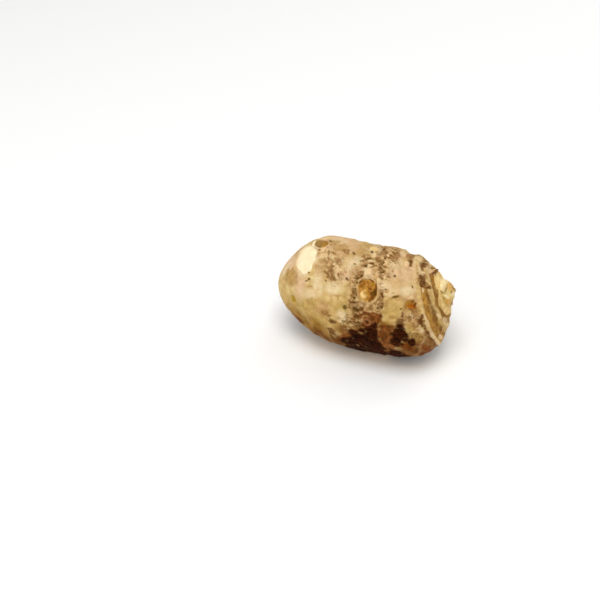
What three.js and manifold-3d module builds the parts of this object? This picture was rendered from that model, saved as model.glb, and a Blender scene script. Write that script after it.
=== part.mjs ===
// An eddo, the small egg-shaped corm of the taro plant, lying on its side.
// All lengths are in millimetres. Z is up, X runs from the root end to the shoot end.
import * as THREE from "three";
import { mergeVertices } from "three/addons/utils/BufferGeometryUtils.js";
import Module from "manifold-3d";

// Long axis
// The axis is a shallow arc, so the corm is bent like a bean.
const LENGTH = 77.6; // root end to the groove round the crown, along X
const START_HEADING = -14.1; // degrees the axis dips at the root end
const END_HEADING = 19.3; // degrees it rises at the shoot end
const BEND_SIDE = 44.3; // degrees of the bend's plane above the horizontal
const NOSE_LIFT = 6.6; // degrees the whole corm is tipped up when it lies at rest

// Girth
const BELLY = 25.2; // largest radius
const BELLY_AT = 48.1;
const ROOT_END_POWER = 3.39; // how full the root end is
const ROOT_END_ROUND = 4.25; // how far its tip is rounded off
const SHOULDER_POWER = 4.65; // how late the girth narrows before the crown

// Crown, as places along the axis and their radii
const CROWN = [
  [71.7, 20.3], // outer ridge
  [73.4, 19.5], // shoulder
  [75.1, 17.4],
  [76.2, 14.4], // inner ridge
  [77.6, 12.6], // groove
  [78.5, 11.5],
  [79.4, 8.6],
  [79.9, 5.2],
  [80.0, 0.0], // middle of the crown
];

// Lobes that make the cross-section less than round
const OVAL = -0.012;
const OVAL_TURN = -0.5; // radians
const THREE_LOBES = 0.032;
const THREE_LOBES_TURN = 0.93; // radians
const OFF_AXIS = -0.62; // how far the rings slide sideways from root end to crown, as a share of their radius

// Mesh
const PROFILE_SAMPLES = 900;
const RINGS = 72; // rows of vertices between the two poles
const SECTORS = 52;
const CROWN_DENSITY = 3.2; // how much closer the rows are at the crown
const CROWN_FROM = 70; // place along the axis where the close rows start

// Leaf scars: the rings where leaves once sat
// at is the place, high the relief, wave and lobes how the ring wanders round the corm,
// turn where it wanders furthest and strong where it stands out most, both in degrees.
const LEAF_SCARS = [
  { at: 9.6, high: 0.14, wave: 0.8, lobes: 1, turn: 30, strong: 200 },
  { at: 15.8, high: 0.18, wave: 1.0, lobes: 1, turn: 250, strong: 300 },
  { at: 22.3, high: 0.2, wave: 0.9, lobes: 2, turn: 140, strong: 210 },
  { at: 28.9, high: 0.26, wave: 0.7, lobes: 1, turn: 100, strong: 250 },
  { at: 36.2, high: 0.26, wave: 1.0, lobes: 2, turn: 20, strong: 290 },
  { at: 43.4, high: 0.38, wave: 0.6, lobes: 1, turn: 40, strong: 80 },
  { at: 53.2, high: 0.5, wave: 2.4, lobes: 2, turn: 80, strong: 100 },
  { at: 64.3, high: 0.55, wave: 0.6, lobes: 2, turn: 40, strong: 60 },
];
const SCAR_WIDTH = 0.95; // half width of the raised line
const SCAR_DIP = 0.75; // the sunk line beside it, as a share of the relief
const SCAR_DIP_OFFSET = 1.7;

// Ridges and grooves of the crown: place along the axis, relief, half width
const CROWN_RELIEF = [
  [71.6, 0.7, 0.9],
  [74.9, -0.5, 0.9],
  [76.3, 0.75, 0.55],
  [77.6, -0.85, 0.55],
];

// Unevenness of the skin: waves along the axis, waves round it, phase, height
const LUMPS = [
  [0.11, 2, 0.4, 0.3],
  [0.19, 3, 2.1, 0.24],
  [0.31, 4, 4.4, 0.15],
  [0.46, 5, 1.2, 0.11],
  [0.27, 7, 3.3, 0.09],
];
const LUMPS_FADE = 6; // they fade out over this length at both ends
const LUMPS_END = 80; // and are gone here

// Bud scars: round sunk marks, some with the bud still in them
// at and turn (degrees) give the place, size the radius, bud the radius of the bud.
const BUD_SCARS = [
  { at: 50.1, turn: 91.5, size: 4.1, deep: 1.1, rim: 0.2, bud: 2.0 },
  { at: 23.4, turn: 49, size: 3.6, deep: 0.9, rim: 0.5, bud: 0 },
  { at: 66.2, turn: 145.5, size: 3.8, deep: 0.8, rim: 0.25, bud: 1.7 },
  { at: 58.5, turn: 268, size: 4.0, deep: 0.95, rim: 0.3, bud: 1.9 },
  { at: 34.5, turn: 318, size: 3.4, deep: 0.8, rim: 0.3, bud: 0 },
];
const SCAR_SIDES = 22;
const SCAR_FLOOR = 0.62; // radius of the hollow's floor as a share of the size
const SCAR_RIM_WIDTH = 2.3;
const SCAR_ROOT = 1.6; // how far rim and bud reach into the flesh
const SCAR_ABOVE = 3; // height of the hollow's cutter above the skin
const SCAR_UNEVEN = 0.07; // share by which rim and hollow differ from round
const BUD_SIDES = 12;
const BUD_OFFSET = 0.7; // the bud sits this far from the middle, towards the root end

// Scraped patch near the root end: flat facets side by side round the corm
const PATCH_AT = 18.4;
const PATCH_TURNS = [51, 65, 79];
const PATCH_DEPTH = 0.34;

// Torn shoot stub on the crown
const STUB_SIDES = 13;
const STUB_ROOT = 3.4; // how far it reaches into the crown
const STUB_WIDE = 6.5; // half width in the bend's plane
const STUB_DEEP = 7.8; // half width across it
// Heights over the crown with the share of the half widths the stub has there
const STUB_LEVELS = [
  [-STUB_ROOT, 1.0],
  [-0.4, 1.0],
  [1.4, 0.9],
  [3.0, 0.78],
  [7.0, 0.6],
];
const STUB_UNEVEN = 0.06; // share by which its sides differ
const STUB_UP = -1.2; // sideways place of the stub on the crown
const STUB_FRONT = 1.7;
// The torn faces: turn in degrees round the stub, lean in degrees, height on its axis
const TORN_FACES = [
  { turn: 8, lean: 26, high: 4.6 },
  { turn: 187, lean: 35, high: 4.3 },
  { turn: 82, lean: 31, high: 4.5 },
  { turn: 262, lean: 38, high: 5.0 },
];

// Flat spot it rests on
const REST_DEPTH = 0.8;

const CROWN_GROOVE_RADIUS = CROWN.find(([x]) => x === LENGTH)[1];
const CROWN_MIDDLE = CROWN[CROWN.length - 1][0];

const wasm = await Module();
wasm.setup();
const rad = THREE.MathUtils.degToRad;

const bendSide = new THREE.Vector3(0, Math.cos(rad(BEND_SIDE)), Math.sin(rad(BEND_SIDE)));
const along = new THREE.Vector3(1, 0, 0);
const across = new THREE.Vector3().crossVectors(along, bendSide);
const tip = new THREE.Matrix4().makeRotationY(-rad(NOSE_LIFT));

// A smooth bump, 1 in its middle
function bump(distance, halfWidth) {
  return Math.exp(-((distance / halfWidth) ** 2));
}

// Point of the axis at x, with the axis's direction and the direction square to it in the bend's plane
function axisAt(x) {
  const start = rad(START_HEADING);
  const radius = LENGTH / (rad(END_HEADING) - start);
  const heading = start + x / radius;
  const point = along.clone().multiplyScalar(radius * (Math.sin(heading) - Math.sin(start)));
  point.addScaledVector(bendSide, radius * (Math.cos(start) - Math.cos(heading)));
  const ahead = along.clone().multiplyScalar(Math.cos(heading)).addScaledVector(bendSide, Math.sin(heading));
  const square = along.clone().multiplyScalar(-Math.sin(heading)).addScaledVector(bendSide, Math.cos(heading));
  return { point, ahead, square };
}

// Middle of the ring of the given radius at x; the rings of the crown all share one middle line
function ringMiddle(x, radius) {
  const { point, ahead, square } = axisAt(x);
  const girth = x > LENGTH ? CROWN_GROOVE_RADIUS : radius;
  point.addScaledVector(square, OFF_AXIS * (Math.min(x, LENGTH) / LENGTH - 0.5) * girth);
  return { point, ahead, square };
}

// Radius of the body before the crown
function bodyRadius(x) {
  if (x < BELLY_AT) {
    const rounded = Math.sqrt(x * x + 2 * ROOT_END_ROUND * x * (1 - x / BELLY_AT));
    return BELLY * Math.max(0, 1 - (1 - rounded / BELLY_AT) ** ROOT_END_POWER);
  }
  const [end, endRadius] = CROWN[0];
  return BELLY - (BELLY - endRadius) * ((x - BELLY_AT) / (end - BELLY_AT)) ** SHOULDER_POWER;
}

// The whole profile as points [x, radius], from the root end to the middle of the crown
function profilePoints() {
  const points = [];
  const bodyShare = Math.round(PROFILE_SAMPLES * 0.7);
  const end = CROWN[0][0];
  for (let i = 0; i < bodyShare; i++) {
    const x = end * (i / bodyShare) ** 2;
    points.push([x, bodyRadius(x)]);
  }
  const curve = new THREE.CatmullRomCurve3(
    CROWN.map(([x, r]) => new THREE.Vector3(x, r, 0)),
    false,
    "centripetal",
  );
  for (const p of curve.getPoints(PROFILE_SAMPLES - bodyShare)) {
    points.push([p.x, Math.max(0, p.y)]);
  }
  return points;
}

// Rows of the mesh: places on the profile with the profile's outward normal
function rowsOf(points) {
  const load = [0];
  for (let i = 1; i < points.length; i++) {
    const step = Math.hypot(points[i][0] - points[i - 1][0], points[i][1] - points[i - 1][1]);
    const dense = points[i][0] > CROWN_FROM ? CROWN_DENSITY : 1;
    load.push(load[i - 1] + step * dense);
  }
  const rows = [];
  let k = 1;
  for (let row = 1; row <= RINGS; row++) {
    const want = (load[load.length - 1] * row) / (RINGS + 1);
    while (load[k] < want) k++;
    const f = (want - load[k - 1]) / (load[k] - load[k - 1]);
    const [x0, r0] = points[k - 1];
    const [x1, r1] = points[k];
    const size = Math.hypot(x1 - x0, r1 - r0);
    rows.push({
      x: x0 + f * (x1 - x0),
      r: r0 + f * (r1 - r0),
      outX: -(r1 - r0) / size,
      outR: (x1 - x0) / size,
    });
  }
  return rows;
}

// Height of the skin's relief
function relief(x, turn) {
  let high = 0;
  for (const scar of LEAF_SCARS) {
    const place = scar.at + scar.wave * Math.cos(scar.lobes * (turn - rad(scar.turn)));
    const strength = scar.high * (0.62 + 0.38 * Math.cos(turn - rad(scar.strong)));
    high += strength * bump(x - place, SCAR_WIDTH);
    high -= strength * SCAR_DIP * bump(x - place - SCAR_DIP_OFFSET, SCAR_WIDTH);
  }
  for (const [at, amount, halfWidth] of CROWN_RELIEF) {
    high += amount * bump(x - at, halfWidth);
  }
  const fade = Math.min(1, x / LUMPS_FADE, Math.max(0, (LUMPS_END - x) / LUMPS_FADE));
  for (const [waves, turns, phase, amount] of LUMPS) {
    high += fade * amount * Math.sin(waves * x + phase) * Math.cos(turns * turn + phase * 2);
  }
  return high;
}

// Share by which the radius changes round the corm
function lobes(turn) {
  return 1 + OVAL * Math.cos(2 * (turn - OVAL_TURN)) + THREE_LOBES * Math.cos(3 * (turn - THREE_LOBES_TURN));
}

// Direction away from the axis at a turn
function sideways(square, turn) {
  return square.clone().multiplyScalar(Math.cos(turn)).addScaledVector(across, Math.sin(turn));
}

// Point of the skin for a row and a turn, before the corm is tipped
function skinPoint(row, turn) {
  const { point, ahead, square } = ringMiddle(row.x, row.r);
  const high = relief(row.x, turn);
  point.addScaledVector(sideways(square, turn), row.r * lobes(turn) + high * row.outR);
  return point.addScaledVector(ahead, high * row.outX);
}

// Closed mesh of rows of vertices with a pole at either end
function skinGeometry(rows) {
  const positions = [];
  const index = [];
  const start = ringMiddle(0, 0).point;
  const end = ringMiddle(CROWN_MIDDLE, 0).point;
  positions.push(start.x, start.y, start.z);
  for (const row of rows) {
    for (let j = 0; j < SECTORS; j++) {
      const p = skinPoint(row, (2 * Math.PI * j) / SECTORS);
      positions.push(p.x, p.y, p.z);
    }
  }
  positions.push(end.x, end.y, end.z);
  const last = 1 + rows.length * SECTORS;
  for (let j = 0; j < SECTORS; j++) {
    const next = (j + 1) % SECTORS;
    index.push(0, 1 + next, 1 + j);
    for (let i = 0; i < rows.length - 1; i++) {
      const a = 1 + i * SECTORS + j;
      const b = 1 + i * SECTORS + next;
      index.push(a, b, b + SECTORS, a, b + SECTORS, a + SECTORS);
    }
    index.push(last, last - SECTORS + j, last - SECTORS + next);
  }
  const geometry = new THREE.BufferGeometry();
  geometry.setAttribute("position", new THREE.Float32BufferAttribute(positions, 3));
  geometry.setIndex(index);
  return geometry.applyMatrix4(tip);
}

// Geometry as a manifold solid
function solidOf(geometry) {
  const bare = geometry.clone();
  bare.deleteAttribute("normal");
  bare.deleteAttribute("uv");
  const merged = mergeVertices(bare, 1e-4);
  return new wasm.Manifold(
    new wasm.Mesh({
      numProp: 3,
      vertProperties: new Float32Array(merged.attributes.position.array),
      triVerts: new Uint32Array(merged.index.array),
    }),
  );
}

// Place on the skin with a frame of its own: Z outwards, X towards the shoot end
function placeOnSkin(at, turn) {
  const step = 0.4;
  const here = skinAt(at, turn);
  const ahead = skinAt(at + step, turn).sub(skinAt(at - step, turn)).normalize();
  const round = skinAt(at, turn + 0.01).sub(skinAt(at, turn - 0.01)).normalize();
  const out = new THREE.Vector3().crossVectors(round, ahead).normalize();
  const third = new THREE.Vector3().crossVectors(out, ahead);
  return new THREE.Matrix4().makeBasis(ahead, third, out).setPosition(here);
}

// Smooth skin point at any place before the crown, tipped, without relief
function skinAt(x, turn) {
  const { point, square } = ringMiddle(x, bodyRadius(x));
  return point.addScaledVector(sideways(square, turn), bodyRadius(x) * lobes(turn)).applyMatrix4(tip);
}

// Solid turned about Z from an outline of [radius, height] that starts and ends on the axis, a little uneven
function turned(outline, sides, unevenness) {
  const points = outline.map(([r, z]) => new THREE.Vector2(r, z));
  const lathe = new THREE.LatheGeometry(points, sides);
  lathe.rotateX(Math.PI / 2);
  const position = lathe.attributes.position;
  for (let i = 0; i < position.count; i++) {
    const turn = Math.atan2(position.getY(i), position.getX(i));
    const share = 1 + unevenness * (Math.sin(2 * turn + 0.7) + 0.6 * Math.sin(3 * turn + 2));
    position.setX(i, position.getX(i) * share);
    position.setY(i, position.getY(i) * share);
  }
  return lathe;
}

// Hollow, rim and bud of one bud scar
function budScar(body, scar) {
  const place = placeOnSkin(scar.at, rad(scar.turn));
  const outer = scar.size + SCAR_RIM_WIDTH;
  const rim = turned(
    [
      [0, -SCAR_ROOT],
      [outer, -SCAR_ROOT],
      [outer - 0.6, -0.55],
      [scar.size + 0.5, scar.rim * 0.8],
      [scar.size - 0.4, scar.rim],
      [0, -0.2],
    ],
    SCAR_SIDES,
    SCAR_UNEVEN,
  );
  const hollow = turned(
    [
      [0, -scar.deep],
      [scar.size * SCAR_FLOOR, -scar.deep * 0.85],
      [scar.size * 0.9, -scar.deep * 0.35],
      [scar.size, scar.rim],
      [scar.size + 0.5, SCAR_ABOVE],
      [0, SCAR_ABOVE],
    ],
    SCAR_SIDES,
    SCAR_UNEVEN,
  );
  const result = body.add(solidOf(rim.applyMatrix4(place))).subtract(solidOf(hollow.applyMatrix4(place)));
  if (scar.bud === 0) {
    return result;
  }
  const bud = turned(
    [
      [0, -scar.deep - SCAR_ROOT],
      [scar.bud, -scar.deep - SCAR_ROOT],
      [scar.bud, -scar.deep * 0.85],
      [scar.bud * 0.75, -scar.deep * 0.35],
      [0, -scar.deep * 0.05],
    ],
    BUD_SIDES,
    SCAR_UNEVEN,
  );
  bud.translate(-BUD_OFFSET, 0, 0);
  return result.add(solidOf(bud.applyMatrix4(place)));
}

// Cuts away what lies beyond a plane through point, square to out
function cutBeyond(body, point, out) {
  return body.trimByPlane([-out.x, -out.y, -out.z], -point.dot(out));
}

// One facet of the scraped patch
function scrape(body, turn) {
  const place = placeOnSkin(PATCH_AT, rad(turn));
  const out = new THREE.Vector3().setFromMatrixColumn(place, 2);
  const point = new THREE.Vector3().setFromMatrixPosition(place).addScaledVector(out, -PATCH_DEPTH);
  return cutBeyond(body, point, out);
}

// Torn shoot stub: an uneven many-sided peg cut by leaning planes
function stub() {
  const positions = [];
  const index = [];
  for (const [high, share] of STUB_LEVELS) {
    for (let j = 0; j < STUB_SIDES; j++) {
      const turn = (2 * Math.PI * j) / STUB_SIDES;
      const uneven = share * (1 + STUB_UNEVEN * Math.sin(2.6 * j + 0.5 * high));
      positions.push(STUB_WIDE * uneven * Math.cos(turn), STUB_DEEP * uneven * Math.sin(turn), high);
    }
  }
  const top = STUB_LEVELS.length - 1;
  for (let j = 1; j < STUB_SIDES - 1; j++) {
    index.push(0, j + 1, j);
    index.push(top * STUB_SIDES, top * STUB_SIDES + j, top * STUB_SIDES + j + 1);
  }
  for (let i = 0; i < top; i++) {
    for (let j = 0; j < STUB_SIDES; j++) {
      const next = (j + 1) % STUB_SIDES;
      const a = i * STUB_SIDES + j;
      const b = i * STUB_SIDES + next;
      index.push(a, b, b + STUB_SIDES, a, b + STUB_SIDES, a + STUB_SIDES);
    }
  }
  const geometry = new THREE.BufferGeometry();
  geometry.setAttribute("position", new THREE.Float32BufferAttribute(positions, 3));
  geometry.setIndex(index);
  let peg = solidOf(geometry);
  for (const face of TORN_FACES) {
    const lean = rad(face.lean);
    const turn = rad(face.turn);
    const out = new THREE.Vector3(
      Math.sin(lean) * Math.cos(turn),
      Math.sin(lean) * Math.sin(turn),
      Math.cos(lean),
    );
    peg = cutBeyond(peg, new THREE.Vector3(0, 0, face.high), out);
  }
  const { point, ahead, square } = ringMiddle(CROWN_MIDDLE, 0);
  const place = new THREE.Matrix4().makeBasis(square, across, ahead);
  point.addScaledVector(square, STUB_UP).addScaledVector(across, STUB_FRONT);
  place.setPosition(point).premultiply(tip);
  return peg.transform(place.toArray());
}

// Solid back to three.js geometry
function geometryOf(solid) {
  const mesh = solid.getMesh();
  const geometry = new THREE.BufferGeometry();
  geometry.setAttribute("position", new THREE.BufferAttribute(mesh.vertProperties, 3));
  geometry.setIndex(new THREE.BufferAttribute(mesh.triVerts, 1));
  return geometry;
}

// The whole corm
function corm() {
  let body = solidOf(skinGeometry(rowsOf(profilePoints())));
  for (const scar of BUD_SCARS) {
    body = budScar(body, scar);
  }
  for (const turn of PATCH_TURNS) {
    body = scrape(body, turn);
  }
  body = body.add(stub());
  const lowest = body.boundingBox().min[2];
  return body.trimByPlane([0, 0, 1], lowest + REST_DEPTH);
}

// Sets the corm down with the middle of its bounds over the origin
function setDown(geometry) {
  geometry.computeBoundingBox();
  const { min, max } = geometry.boundingBox;
  return geometry.translate(-(min.x + max.x) / 2, -(min.y + max.y) / 2, -min.z);
}

const skin = new THREE.MeshStandardMaterial({ color: 0xc9a877, roughness: 0.62, metalness: 0 });
const mesh = new THREE.Mesh(setDown(geometryOf(corm())), skin);
mesh.name = "corm";

const eddo = new THREE.Group();
eddo.name = "eddo";
eddo.add(mesh);

export default eddo;
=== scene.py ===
# %% [markdown]
# # An eddo
# An eddo is the small, egg-shaped corm of a taro plant. Its skin shows rings where leaves once sat,
# round scars where side buds grew, and at one end a ridged crown with the torn stub of the shoot.
# The solid model of the corm is loaded first, because everything else is fitted to it.

# %% Load the frame
import math

import bpy
import numpy as np
from mathutils import Matrix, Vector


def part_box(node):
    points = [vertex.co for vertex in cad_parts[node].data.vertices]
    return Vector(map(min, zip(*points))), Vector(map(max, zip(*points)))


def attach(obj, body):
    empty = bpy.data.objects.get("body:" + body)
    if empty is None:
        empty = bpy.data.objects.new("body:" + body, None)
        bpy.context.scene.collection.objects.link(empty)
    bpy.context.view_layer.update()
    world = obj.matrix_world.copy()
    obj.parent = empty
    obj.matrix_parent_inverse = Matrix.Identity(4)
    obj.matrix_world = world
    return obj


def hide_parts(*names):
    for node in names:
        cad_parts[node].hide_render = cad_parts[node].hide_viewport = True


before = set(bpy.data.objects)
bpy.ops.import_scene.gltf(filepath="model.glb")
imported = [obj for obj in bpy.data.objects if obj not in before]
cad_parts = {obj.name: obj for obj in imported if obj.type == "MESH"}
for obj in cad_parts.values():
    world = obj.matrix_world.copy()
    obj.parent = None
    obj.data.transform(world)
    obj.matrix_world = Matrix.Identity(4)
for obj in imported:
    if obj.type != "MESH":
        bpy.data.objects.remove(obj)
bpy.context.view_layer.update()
low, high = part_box("corm")
print("corm from", [round(v, 4) for v in low], "to", [round(v, 4) for v in high])

# %% [markdown]
# ## Units and small helpers
# The corm is described in millimetres, as its solid is, and turned into metres when a mesh is made.
# Two shapes come back all the time: a bump that fades away on both sides, and a step with soft edges.

# %% Helpers
MM = 0.001


def bump(distance, half_width):
    """A bell: 1 in the middle, e to the minus square of distance over half width."""
    return np.exp(-(distance / half_width) ** 2)


def step(value, start, end):
    """0 before start, 1 after end, and the smooth cubic 3t^2 - 2t^3 in between."""
    t = np.clip((value - start) / (end - start), 0, 1)
    return t * t * (3 - 2 * t)


def unit(vectors):
    """Each vector divided by its length."""
    return vectors / np.linalg.norm(vectors, axis=-1, keepdims=True)


print("one unit here is", MM, "m")

# %% [markdown]
# ## Noise that is the same each run
# Skin is never even. Value noise puts a fixed random number at each corner of a grid of cubes and blends
# them smoothly in between. The random number is worked out from the corner's own place, so each run gives
# the same skin. Several layers, each half the size of the last, look like a natural surface.

# %% Noise
CORNER_FACTORS = np.array([73856093, 19349663, 83492791])
WORD = 0xFFFFFFFF


def corner_values(corners, seed):
    """A number from 0 to 1 for each whole-number corner, from its place and the seed."""
    key = (corners @ CORNER_FACTORS + seed * 40503) & WORD
    key = ((key ^ (key >> 15)) * 739982445) & WORD
    key = ((key ^ (key >> 12)) * 695872825) & WORD
    return (key ^ (key >> 15)) / WORD


def value_noise(points, size, seed):
    """Blend of the eight corner numbers round each point, with smooth weights 3t^2 - 2t^3. From 0 to 1."""
    scaled = points / size
    cell = np.floor(scaled).astype(np.int64)
    part = scaled - cell
    part = part * part * (3 - 2 * part)
    total = np.zeros(points.shape[:-1])
    for corner in np.ndindex(2, 2, 2):
        weight = np.prod(np.where(np.array(corner) == 1, part, 1 - part), axis=-1)
        total += weight * corner_values(cell + np.array(corner), seed)
    return total


def layered_noise(points, size, layers, seed):
    """Sum of value noise layers, each half the size and half the strength of the last, as -1 to 1."""
    total = np.zeros(points.shape[:-1])
    strength = 1.0
    for layer in range(layers):
        total += strength * (2 * value_noise(points, size / 2**layer, seed + layer) - 1)
        strength /= 2
    return total


sample = value_noise(np.random.default_rng(1).uniform(-50, 50, (1000, 3)), 3.0, 1)
print("noise runs from", round(sample.min(), 2), "to", round(sample.max(), 2))

# %% [markdown]
# ## The axis and the girth
# The corm could be sculpted, but a few measurements say all about its main shape: an arc for the axis, a
# radius for each place along it, and slight lobes round it. These are the measurements of the solid, so
# the fine skin lies on it with no fitting.

# %% Axis and girth
LENGTH = 77.6
START_HEADING = math.radians(-14.1)
END_HEADING = math.radians(19.3)
BEND_SIDE = math.radians(44.3)
NOSE_LIFT = math.radians(6.6)
ROOT_END = np.array([-41.84, 2.49, 21.98])  # where the tip of the root end lies in the frame

BELLY = 25.2
BELLY_AT = 48.1
ROOT_END_POWER = 3.39
ROOT_END_ROUND = 4.25
SHOULDER_POWER = 4.65
CROWN = np.array([
    [71.7, 20.3],
    [73.4, 19.5],
    [75.1, 17.4],
    [76.2, 14.4],
    [77.6, 12.6],
    [78.5, 11.5],
    [79.4, 8.6],
    [79.9, 5.2],
    [80.0, 0.0],
])
CROWN_GROOVE_RADIUS = 12.6
CROWN_MIDDLE = 80.0
OVAL, OVAL_TURN = -0.012, -0.5
THREE_LOBES, THREE_LOBES_TURN = 0.032, 0.93
OFF_AXIS = -0.62

ALONG = np.array([1.0, 0.0, 0.0])
BEND = np.array([0.0, math.cos(BEND_SIDE), math.sin(BEND_SIDE)])
ACROSS = np.cross(ALONG, BEND)
TIP = np.array([
    [math.cos(NOSE_LIFT), 0, -math.sin(NOSE_LIFT)],
    [0, 1, 0],
    [math.sin(NOSE_LIFT), 0, math.cos(NOSE_LIFT)],
])


def ring_frame(x, radius):
    """Middle, forward and sideways direction of the ring at x.

    The middle follows an arc whose heading grows evenly with x, and slides sideways by a share of the
    ring's radius that grows from root end to crown.
    """
    arc = LENGTH / (END_HEADING - START_HEADING)
    heading = START_HEADING + x / arc
    forward = np.cos(heading)[..., None] * ALONG + np.sin(heading)[..., None] * BEND
    sideways = -np.sin(heading)[..., None] * ALONG + np.cos(heading)[..., None] * BEND
    run = arc * (np.sin(heading) - math.sin(START_HEADING))
    rise = arc * (math.cos(START_HEADING) - np.cos(heading))
    girth = np.where(x > LENGTH, CROWN_GROOVE_RADIUS, radius)
    slide = OFF_AXIS * (np.minimum(x, LENGTH) / LENGTH - 0.5) * girth
    middle = run[..., None] * ALONG + rise[..., None] * BEND + slide[..., None] * sideways
    return middle, forward, sideways


def body_radius(x):
    """Radius before the crown: a power curve on either side of the belly, rounded off at the root end."""
    rounded = np.sqrt(np.clip(x * x + 2 * ROOT_END_ROUND * x * (1 - x / BELLY_AT), 0, None))
    back = BELLY * (1 - np.clip(1 - rounded / BELLY_AT, 0, 1) ** ROOT_END_POWER)
    front_share = np.clip((x - BELLY_AT) / (CROWN[0, 0] - BELLY_AT), 0, None)
    front = BELLY - (BELLY - CROWN[0, 1]) * front_share**SHOULDER_POWER
    return np.where(x < BELLY_AT, back, front)


def lobes(turn):
    """Share of the round radius at a turn: 1 plus a two-lobed and a three-lobed wave."""
    oval = OVAL * np.cos(2 * (turn - OVAL_TURN))
    return 1 + oval + THREE_LOBES * np.cos(3 * (turn - THREE_LOBES_TURN))


def set_in_frame(points):
    """Tips the corm up at its nose and moves its root end to its place in the frame."""
    return points @ TIP.T + ROOT_END


print("belly", 2 * BELLY, "mm across,", LENGTH, "mm from root end to crown groove")

# %% [markdown]
# ## The profile
# The profile runs from the tip of the root end to the middle of the crown. Before the crown it follows the
# power curves. The crown is a smooth curve through its few points. Rows of the mesh are then laid along
# the profile, closer together at the crown, where the ridges are narrow.

# %% Profile and rows
ROWS = 310
SECTORS = 318
CROWN_FROM = 69.5
CROWN_DENSITY = 2.4


def blend(t, start, end, first, second):
    """From the first point to the second as t goes from start to end."""
    share = (t - start) / (end - start)
    return (1 - share) * first + share * second


def smooth_curve(points, steps):
    """Centripetal Catmull-Rom curve: each piece blends its four nearest points by the root of their gaps."""
    ends = [2 * points[0] - points[1]], [2 * points[-1] - points[-2]]
    padded = np.concatenate([ends[0], points, ends[1]])
    curve = []
    for a, b, c, d in zip(padded, padded[1:], padded[2:], padded[3:]):
        gaps = (np.linalg.norm(q - p) ** 0.5 for p, q in ((a, b), (b, c), (c, d)))
        at_a, at_b, at_c, at_d = np.cumsum([0, *gaps])
        t = np.linspace(at_b, at_c, steps, endpoint=False)[:, None]
        ab, bc, cd = blend(t, at_a, at_b, a, b), blend(t, at_b, at_c, b, c), blend(t, at_c, at_d, c, d)
        curve.append(blend(t, at_b, at_c, blend(t, at_a, at_c, ab, bc), blend(t, at_b, at_d, bc, cd)))
    return np.concatenate([*curve, [points[-1]]])


def profile():
    """Places [x, radius] of the whole profile: the body first, then the crown's curve."""
    x = CROWN[0, 0] * np.linspace(0, 1, 900, endpoint=False) ** 2
    return np.concatenate([np.stack([x, body_radius(x)], -1), smooth_curve(CROWN, 60)])


def rows_of(line):
    """Rows at even steps of the profile's length, where a step at the crown counts for more.

    Each row is x, radius and the profile's outward normal as its parts along x and along the radius.
    """
    steps = np.diff(line, axis=0)
    lengths = np.linalg.norm(steps, axis=1)
    load = np.concatenate([[0], np.cumsum(lengths * np.where(line[1:, 0] > CROWN_FROM, CROWN_DENSITY, 1))])
    wanted = np.linspace(0, load[-1], ROWS + 2)[1:-1]
    x = np.interp(wanted, load, line[:, 0])
    r = np.interp(wanted, load, line[:, 1])
    normals = np.stack([-steps[:, 1], steps[:, 0]], -1) / lengths[:, None]
    middles = (load[1:] + load[:-1]) / 2
    out_x = np.interp(wanted, middles, normals[:, 0])
    out_r = np.interp(wanted, middles, normals[:, 1])
    return x, np.clip(r, 0, None), out_x, out_r


profile_rows = rows_of(profile())
turns = np.linspace(0, 2 * math.pi, SECTORS, endpoint=False)
print(ROWS, "rows of", SECTORS, "points,", 2 * ROWS * SECTORS, "triangles")

# %% [markdown]
# ## Leaf scars, crown ridges and unevenness
# The larger relief follows the solid's: raised lines with a sunk line beside them where leaves sat, two
# ridges and a groove round the crown, and slow waves over the whole skin. Only the crown's inner ridge and
# its groove differ a little: they lie 0.2 mm further back here, and the groove is slightly wider.

# %% Large relief
LEAF_SCARS = [
    # place, height, how far the ring wanders, in how many lobes, from which turn, where it is strongest
    (9.6, 0.14, 0.8, 1, 30, 200),
    (15.8, 0.18, 1.0, 1, 250, 300),
    (22.3, 0.2, 0.9, 2, 140, 210),
    (28.9, 0.26, 0.7, 1, 100, 250),
    (36.2, 0.26, 1.0, 2, 20, 290),
    (43.4, 0.38, 0.6, 1, 40, 80),
    (53.2, 0.5, 2.4, 2, 80, 100),
    (64.3, 0.55, 0.6, 2, 40, 60),
]
SCAR_WIDTH, SCAR_DIP, SCAR_DIP_OFFSET = 0.95, 0.75, 1.7
CROWN_RELIEF = [(71.6, 0.7, 0.9), (74.9, -0.5, 0.9), (76.1, 0.75, 0.55), (77.4, -0.85, 0.6)]
LUMPS = [
    # waves along, waves round, phase, height
    (0.11, 2, 0.4, 0.3),
    (0.19, 3, 2.1, 0.24),
    (0.31, 4, 4.4, 0.15),
    (0.46, 5, 1.2, 0.11),
    (0.27, 7, 3.3, 0.09),
]
LUMPS_FADE, LUMPS_END = 6, 80


def scar_place(scar, turn):
    """Where a leaf scar crosses a turn: its place plus a wave round the corm."""
    at, _, wave, count, start, _ = scar
    return at + wave * np.cos(count * (turn - math.radians(start)))


def large_relief(x, turn):
    """Sum of the leaf scars, the crown's ridges and grooves, and the slow waves, in millimetres."""
    height = np.zeros(np.broadcast(x, turn).shape)
    for scar in LEAF_SCARS:
        away = x - scar_place(scar, turn)
        strength = scar[1] * (0.62 + 0.38 * np.cos(turn - math.radians(scar[5])))
        height += strength * (bump(away, SCAR_WIDTH) - SCAR_DIP * bump(away - SCAR_DIP_OFFSET, SCAR_WIDTH))
    for at, amount, half_width in CROWN_RELIEF:
        height += amount * bump(x - at, half_width)
    fade = np.clip(np.minimum(x, LUMPS_END - x) / LUMPS_FADE, 0, 1)
    for waves, count, phase, amount in LUMPS:
        height += fade * amount * np.sin(waves * x + phase) * np.cos(count * turn + phase * 2)
    return height


print(len(LEAF_SCARS), "leaf scars,", len(CROWN_RELIEF), "crown ridges and grooves,", len(LUMPS), "waves")

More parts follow.
